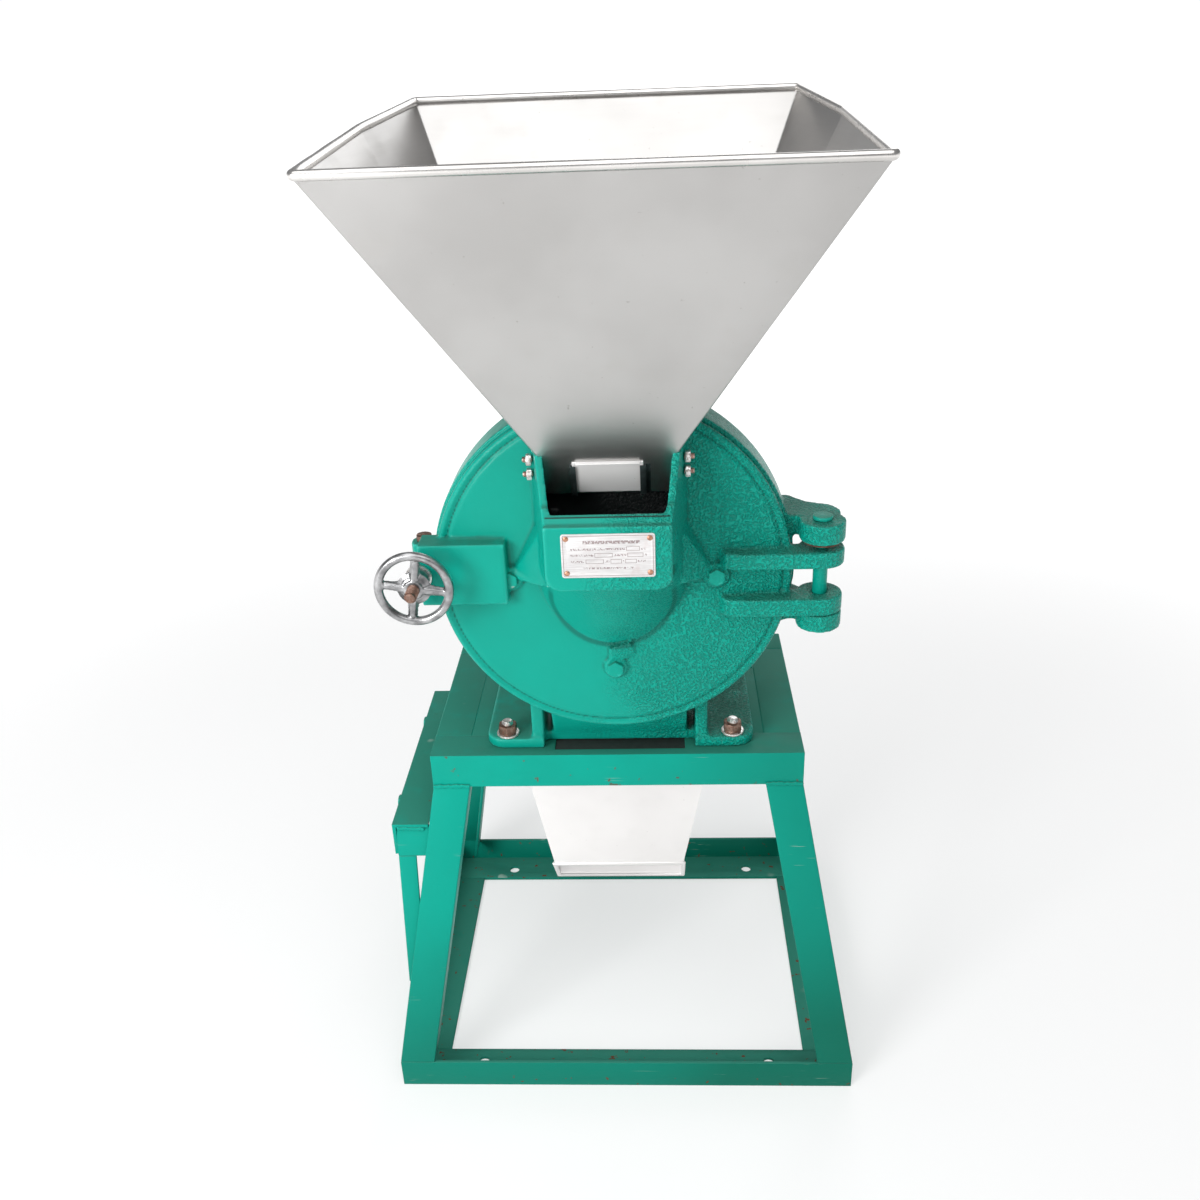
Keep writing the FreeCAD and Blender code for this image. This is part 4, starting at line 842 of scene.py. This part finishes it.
# Painted shade darkens the hollows between rim, spokes and hub.
crease_shade = 1 - rise(place.add("NewGeometry", output=7), 0.42, 0.50)
colour = mixed(crease_shade * 0.8, colour, (0.10, 0.10, 0.10, 1))
DIE_CAST = closed(finish, colour, 0.20 + cloud * 0.22, 0.94,
                  relief(rubbed, 0.10, 0.6, relief(cloud, 0.3, 0.3)))
WHEEL_BORE = 6.15
wheel = begin("torus", major_radius=33.6, minor_radius=4.3, major_segments=72,
              minor_segments=20)
wheel.scale = (1, 1, 0.98)
spokes = []
for index in range(4):
    turn = math.radians(-8 + 90 * index)
    spoke = shaped_block([(8, -6.4, -2.6), (34, -4.6, -1.6), (34, 4.6, -1.6), (8, 6.4, -2.6),
                          (8, -2.6, 3.4), (34, -1.6, 1.8), (34, 1.6, 1.8), (8, 2.6, 3.4)])
    spoke.rotation_euler = (0, 0, turn)
    spokes.append(spoke)
    knee = begin("uv_sphere", segments=16, ring_count=10, radius=4.0,
                 location=(31 * math.cos(turn), 31 * math.sin(turn), 0))
    knee.scale = (1.2, 1.2, 0.7)
    spokes.append(knee)
spokes.append(begin("cylinder", vertices=48, radius=11.4, depth=16, location=(0, 0, -6)))
spokes.append(begin("cone", vertices=48, radius1=17, radius2=9, depth=4.6,
                    location=(0, 0, 0.6)))
spokes.append(begin("cylinder", vertices=40, radius=9.2, depth=8, location=(0, 0, 0)))
with_parts(wheel, spokes)
cast(wheel, 0.75, 3)
cut(wheel, begin("cylinder", vertices=40, radius=WHEEL_BORE, depth=90))
back = begin("cylinder", vertices=48, radius=11.6, depth=15, location=(0, 0, -15.5))
cut(eased(back, 0.8, 2), begin("cylinder", vertices=40, radius=WHEEL_BORE, depth=90))
fitted(placed(with_parts(wheel, [back]), (CLAMP_X, -207, CLAMP_Z), "-Y"), "cast_handwheel",
       "handwheel", "wheel_aluminium", DIE_CAST, "handwheel", smooth=60)

# ---------------------------------------------------------------- hopper
# Folded from thin stainless sheet: a straight neck, creased sides and a rim rolled over wire.
# The sheet is lightly dished between its folds, and the sides are seamed from two panels.
RIM_Y, RIM_Z = -322, 1031
FOLD_Y, FOLD_Z = -196, 770
WAIST_Z = 825
FRONT_RUN = (RIM_Y - FOLD_Y) / (RIM_Z - FOLD_Z)
RIM_RISE = (1060 - RIM_Z) / (48 - RIM_Y)


def rim_height(y):
    """Height of the slanted rim at a distance along Y."""
    return RIM_Z + RIM_RISE * (y - RIM_Y)


def front_wall(z):
    """Place along Y of the sloping front wall at a height."""
    return FOLD_Y + FRONT_RUN * (z - FOLD_Z)


def level_ring(front, side, back):
    """Six corners of the hopper at one level, from right front round to left front."""
    right = [front, side, back]
    return ([(AXIS_X + x, y, z) for x, y, z in right]
            + [(AXIS_X - x, y, z) for x, y, z in right[::-1]])


NECK_HALF, RIM_HALF, NECK_BACK = 57.5, 211, -168.5
waist_half = NECK_HALF + (WAIST_Z - FOLD_Z) / (RIM_Z - FOLD_Z) * (RIM_HALF - NECK_HALF)
levels = [
    level_ring((NECK_HALF, front_wall(735), 735), (NECK_HALF, -173.8, 735),
               (NECK_HALF, NECK_BACK, 735)),
    level_ring((NECK_HALF, FOLD_Y, FOLD_Z), (NECK_HALF, -182.2, FOLD_Z),
               (NECK_HALF, NECK_BACK, FOLD_Z)),
    level_ring((waist_half, front_wall(WAIST_Z), WAIST_Z), (waist_half - 2, -195, WAIST_Z),
               (80, NECK_BACK, WAIST_Z)),
    level_ring((RIM_HALF, RIM_Y, RIM_Z), (207, -112, rim_height(-112)), (187, 48, 1060)),
]


def six_corners(ring):
    """Open ring of six edges laid through a level's corners, left in edit mode."""
    outline = begin("circle", vertices=6, radius=50)
    bpy.ops.object.mode_set(mode="EDIT")
    shape = bmesh.from_edit_mesh(outline.data)
    shape.verts.ensure_lookup_table()
    for vertex, corner in zip(shape.verts, ring):
        vertex.co = Vector(corner) * MM
    bmesh.update_edit_mesh(outline.data)
    return outline


hopper = six_corners(levels[0])
for low_ring, high_ring in zip(levels, levels[1:]):
    bpy.ops.mesh.extrude_region_move()
    shape = bmesh.from_edit_mesh(hopper.data)
    for vertex in [vertex for vertex in shape.verts if vertex.select]:
        gaps = [(Vector(corner) * MM - vertex.co).length for corner in low_ring]
        near = gaps.index(min(gaps))
        vertex.co = Vector(high_ring[near]) * MM
    bmesh.update_edit_mesh(hopper.data)
bpy.ops.mesh.select_all(action="SELECT")
bpy.ops.mesh.normals_make_consistent(inside=False)
bpy.ops.mesh.select_all(action="DESELECT")
shape = bmesh.from_edit_mesh(hopper.data)
for edge in shape.edges:
    edge.select = len(edge.link_faces) == 2
bmesh.update_edit_mesh(hopper.data)
bpy.ops.mesh.bevel(offset=1.6 * MM, segments=3, affect="EDGES", clamp_overlap=True)
bpy.ops.object.mode_set(mode="OBJECT")
modify(hopper, "SUBSURF", subdivision_type="SIMPLE", levels=3, render_levels=3)
dents = bpy.data.textures.new("sheet dents", "CLOUDS")
dents.noise_scale = 0.11
modify(hopper, "DISPLACE", texture=dents, texture_coords="LOCAL", strength=0.9 * MM,
       mid_level=0.5)
modify(hopper, "SOLIDIFY", thickness=1.2 * MM, offset=-1)
lean = math.atan(-FRONT_RUN)
feed_slot = begin("cube", size=1, location=(4, front_wall(751.2), 751.2),
                  rotation=(lean, 0, 0))
feed_slot.scale = (56, 8, 26)
cut(hopper, feed_slot)
bottom = shaped_block([
    (-52.5, -178.4, 736), (60.5, -178.4, 736), (60.5, -169.2, 736), (-52.5, -169.2, 736),
    (-52.5, -178.4, 737.2), (60.5, -178.4, 737.2), (60.5, -169.2, 737.2),
    (-52.5, -169.2, 737.2)])
with_parts(hopper, [eased(bottom, 0.3, 2)])


def stainless(name, light, dark, roughness, run, smudge, metallic=1.0):
    """Mill-finished stainless sheet: fine drawn lines along a run, soft clouds and smudges."""
    finish, place = opened(name)
    drawn = noise(place, 22, 3, run)
    cloud = noise(place, 7, 3)
    mark = rise(noise(place, 24, 5), 0.54, 0.70) * smudge
    colour = mixed(rise(cloud, 0.3, 0.7), dark, light)
    colour = mixed(mark * 0.14, colour, (0.50, 0.48, 0.45, 1))
    fleck = rise(noise(place, 210, 2), 0.74, 0.78) * smudge
    colour = mixed(fleck * 0.6, colour, (0.28, 0.26, 0.24, 1))
    rough = roughness + drawn * 0.10 + cloud * 0.06 + mark * 0.05
    wave = relief(noise(place, 5, 2), 2.0, 0.10)
    return closed(finish, colour, rough, metallic, relief(drawn, 0.035, 0.5, wave))


HOPPER_SHEET = stainless("stainless hopper sheet", (0.56, 0.55, 0.54, 1),
                         (0.48, 0.47, 0.46, 1), 0.27, (1, 1, 30), 0.8)
fitted(hopper, "folded_hopper", "door", "stainless_sheet", HOPPER_SHEET, "hopper", smooth=25)

six_corners(levels[3])
bpy.ops.mesh.bevel(offset=4 * MM, segments=5, affect="VERTICES")
bpy.ops.mesh.select_all(action="SELECT")
bpy.ops.mesh.subdivide(number_cuts=12)
bpy.ops.object.mode_set(mode="OBJECT")
bpy.ops.object.convert(target="CURVE")
rim = bpy.context.object
rim.data.bevel_depth = 4.1 * MM
rim.data.bevel_resolution = 5
bpy.ops.object.convert(target="MESH")
rim = bpy.context.object
bpy.ops.object.mode_set(mode="EDIT")
bpy.ops.mesh.select_all(action="SELECT")
bpy.ops.mesh.normals_make_consistent(inside=False)
bpy.ops.object.mode_set(mode="OBJECT")
rolled = bpy.data.textures.new("rolled edge", "CLOUDS")
rolled.noise_scale = 0.03
modify(rim, "DISPLACE", texture=rolled, texture_coords="LOCAL", strength=0.5 * MM,
       mid_level=0.55)
RIM_SHEET = stainless("rolled rim", (0.80, 0.78, 0.76, 1), (0.62, 0.60, 0.58, 1), 0.20,
                      (1, 1, 1), 0.6)
fitted(rim, "rolled_rim", "door", "stainless_sheet", RIM_SHEET, "hopper_rim_wire",
       smooth=60)

# M6 screws hold the hopper's neck in the feed box, with bright nuts outside.
ends = [(side, z) for side in (-1, 1) for z in (754, 768)]
nut_parts = []
bolt_parts = []
for side, z in ends:
    axis = "X" if side > 0 else "-X"
    nut_parts.append(placed(nut(5.8, 5), (4 + side * 69.8, -180.5, z), axis))
    bolt_parts.append(placed(threaded(3, 9.3, 1.0), (4 + side * 69.0, -180.5, z), axis))
    head = begin("uv_sphere", segments=20, ring_count=10, radius=4.9)
    head.scale = (1, 1, 0.55)
    bolt_parts.append(placed(head, (4 + side * 54.0, -180.5, z), axis))
fitted(with_parts(nut_parts[0], nut_parts[1:]), "bright_hopper_nuts", "door", "zinc_plated_steel",
       ZINC, "hopper_nuts")
PINK_ZINC = metal("worn thread plating", (0.72, 0.52, 0.46, 1), (0.46, 0.32, 0.28, 1), 0.28, 220)
fitted(with_parts(bolt_parts[0], bolt_parts[1:]), "hopper_screws", "door", "zinc_plated_steel",
       PINK_ZINC, "hopper_bolts")

# ---------------------------------------------------------------- slide gate
# Flat stainless gate with a folded finger lip, held by two dark channel guides.
# It slides up the hopper's sloping front wall to let grain into the box.
GUIDE_STEEL = metal("dark guide steel", (0.05, 0.07, 0.07, 1), (0.02, 0.03, 0.03, 1), 0.38, 90,
                    metallic=0.6)
dressed("gate_guides", 0.4, 2, "channel_guides", "door", "stainless_sheet", GUIDE_STEEL)
GATE_SHEET = stainless("gate sheet", (0.86, 0.85, 0.84, 1), (0.74, 0.73, 0.72, 1), 0.45,
                       (1, 1, 18), 1.0, 0.2)
gate = traced("slide_gate")
outward = Vector((0, -math.cos(lean), -math.sin(lean)))
wall_point = Vector((4, front_wall(735), 735)) * MM
# The finger lip is pressed nearly flat, and the plate reaches down into the box.
for vertex in gate.data.vertices:
    if (vertex.co - wall_point).dot(outward) > 5 * MM:
        vertex.co -= outward * 6.5 * MM
    if vertex.co.z < 732 * MM:
        vertex.co += Vector((0, (front_wall(724) - front_wall(733)) * MM, -9 * MM))
fitted(eased(gate, 0.5, 3), "folded_gate", "gate", "stainless_sheet",
       GATE_SHEET, "slide_gate")

# ---------------------------------------------------------------- discharge spout
# Folded stainless spout tacked under the deck, with a hem rolled round its slanted mouth.
CHUTE_SHEET = stainless("bright spout sheet", (0.88, 0.86, 0.85, 1), (0.80, 0.78, 0.77, 1),
                        0.25, (1, 1, 8), 0.4, 0.8)
chute = traced("discharge_chute")
# Its lower right corner is bent in and its upper left corner out.
for vertex in chute.data.vertices:
    drop = min(max((421 * MM - vertex.co.z) / (121 * MM), 0), 1)
    vertex.co.x += (-13 * drop if vertex.co.x > 4 * MM else -9 * (1 - drop)) * MM
fitted(eased(chute, 0.5, 2), "folded_spout", "stand", "stainless_sheet", CHUTE_SHEET,
       "discharge_chute")
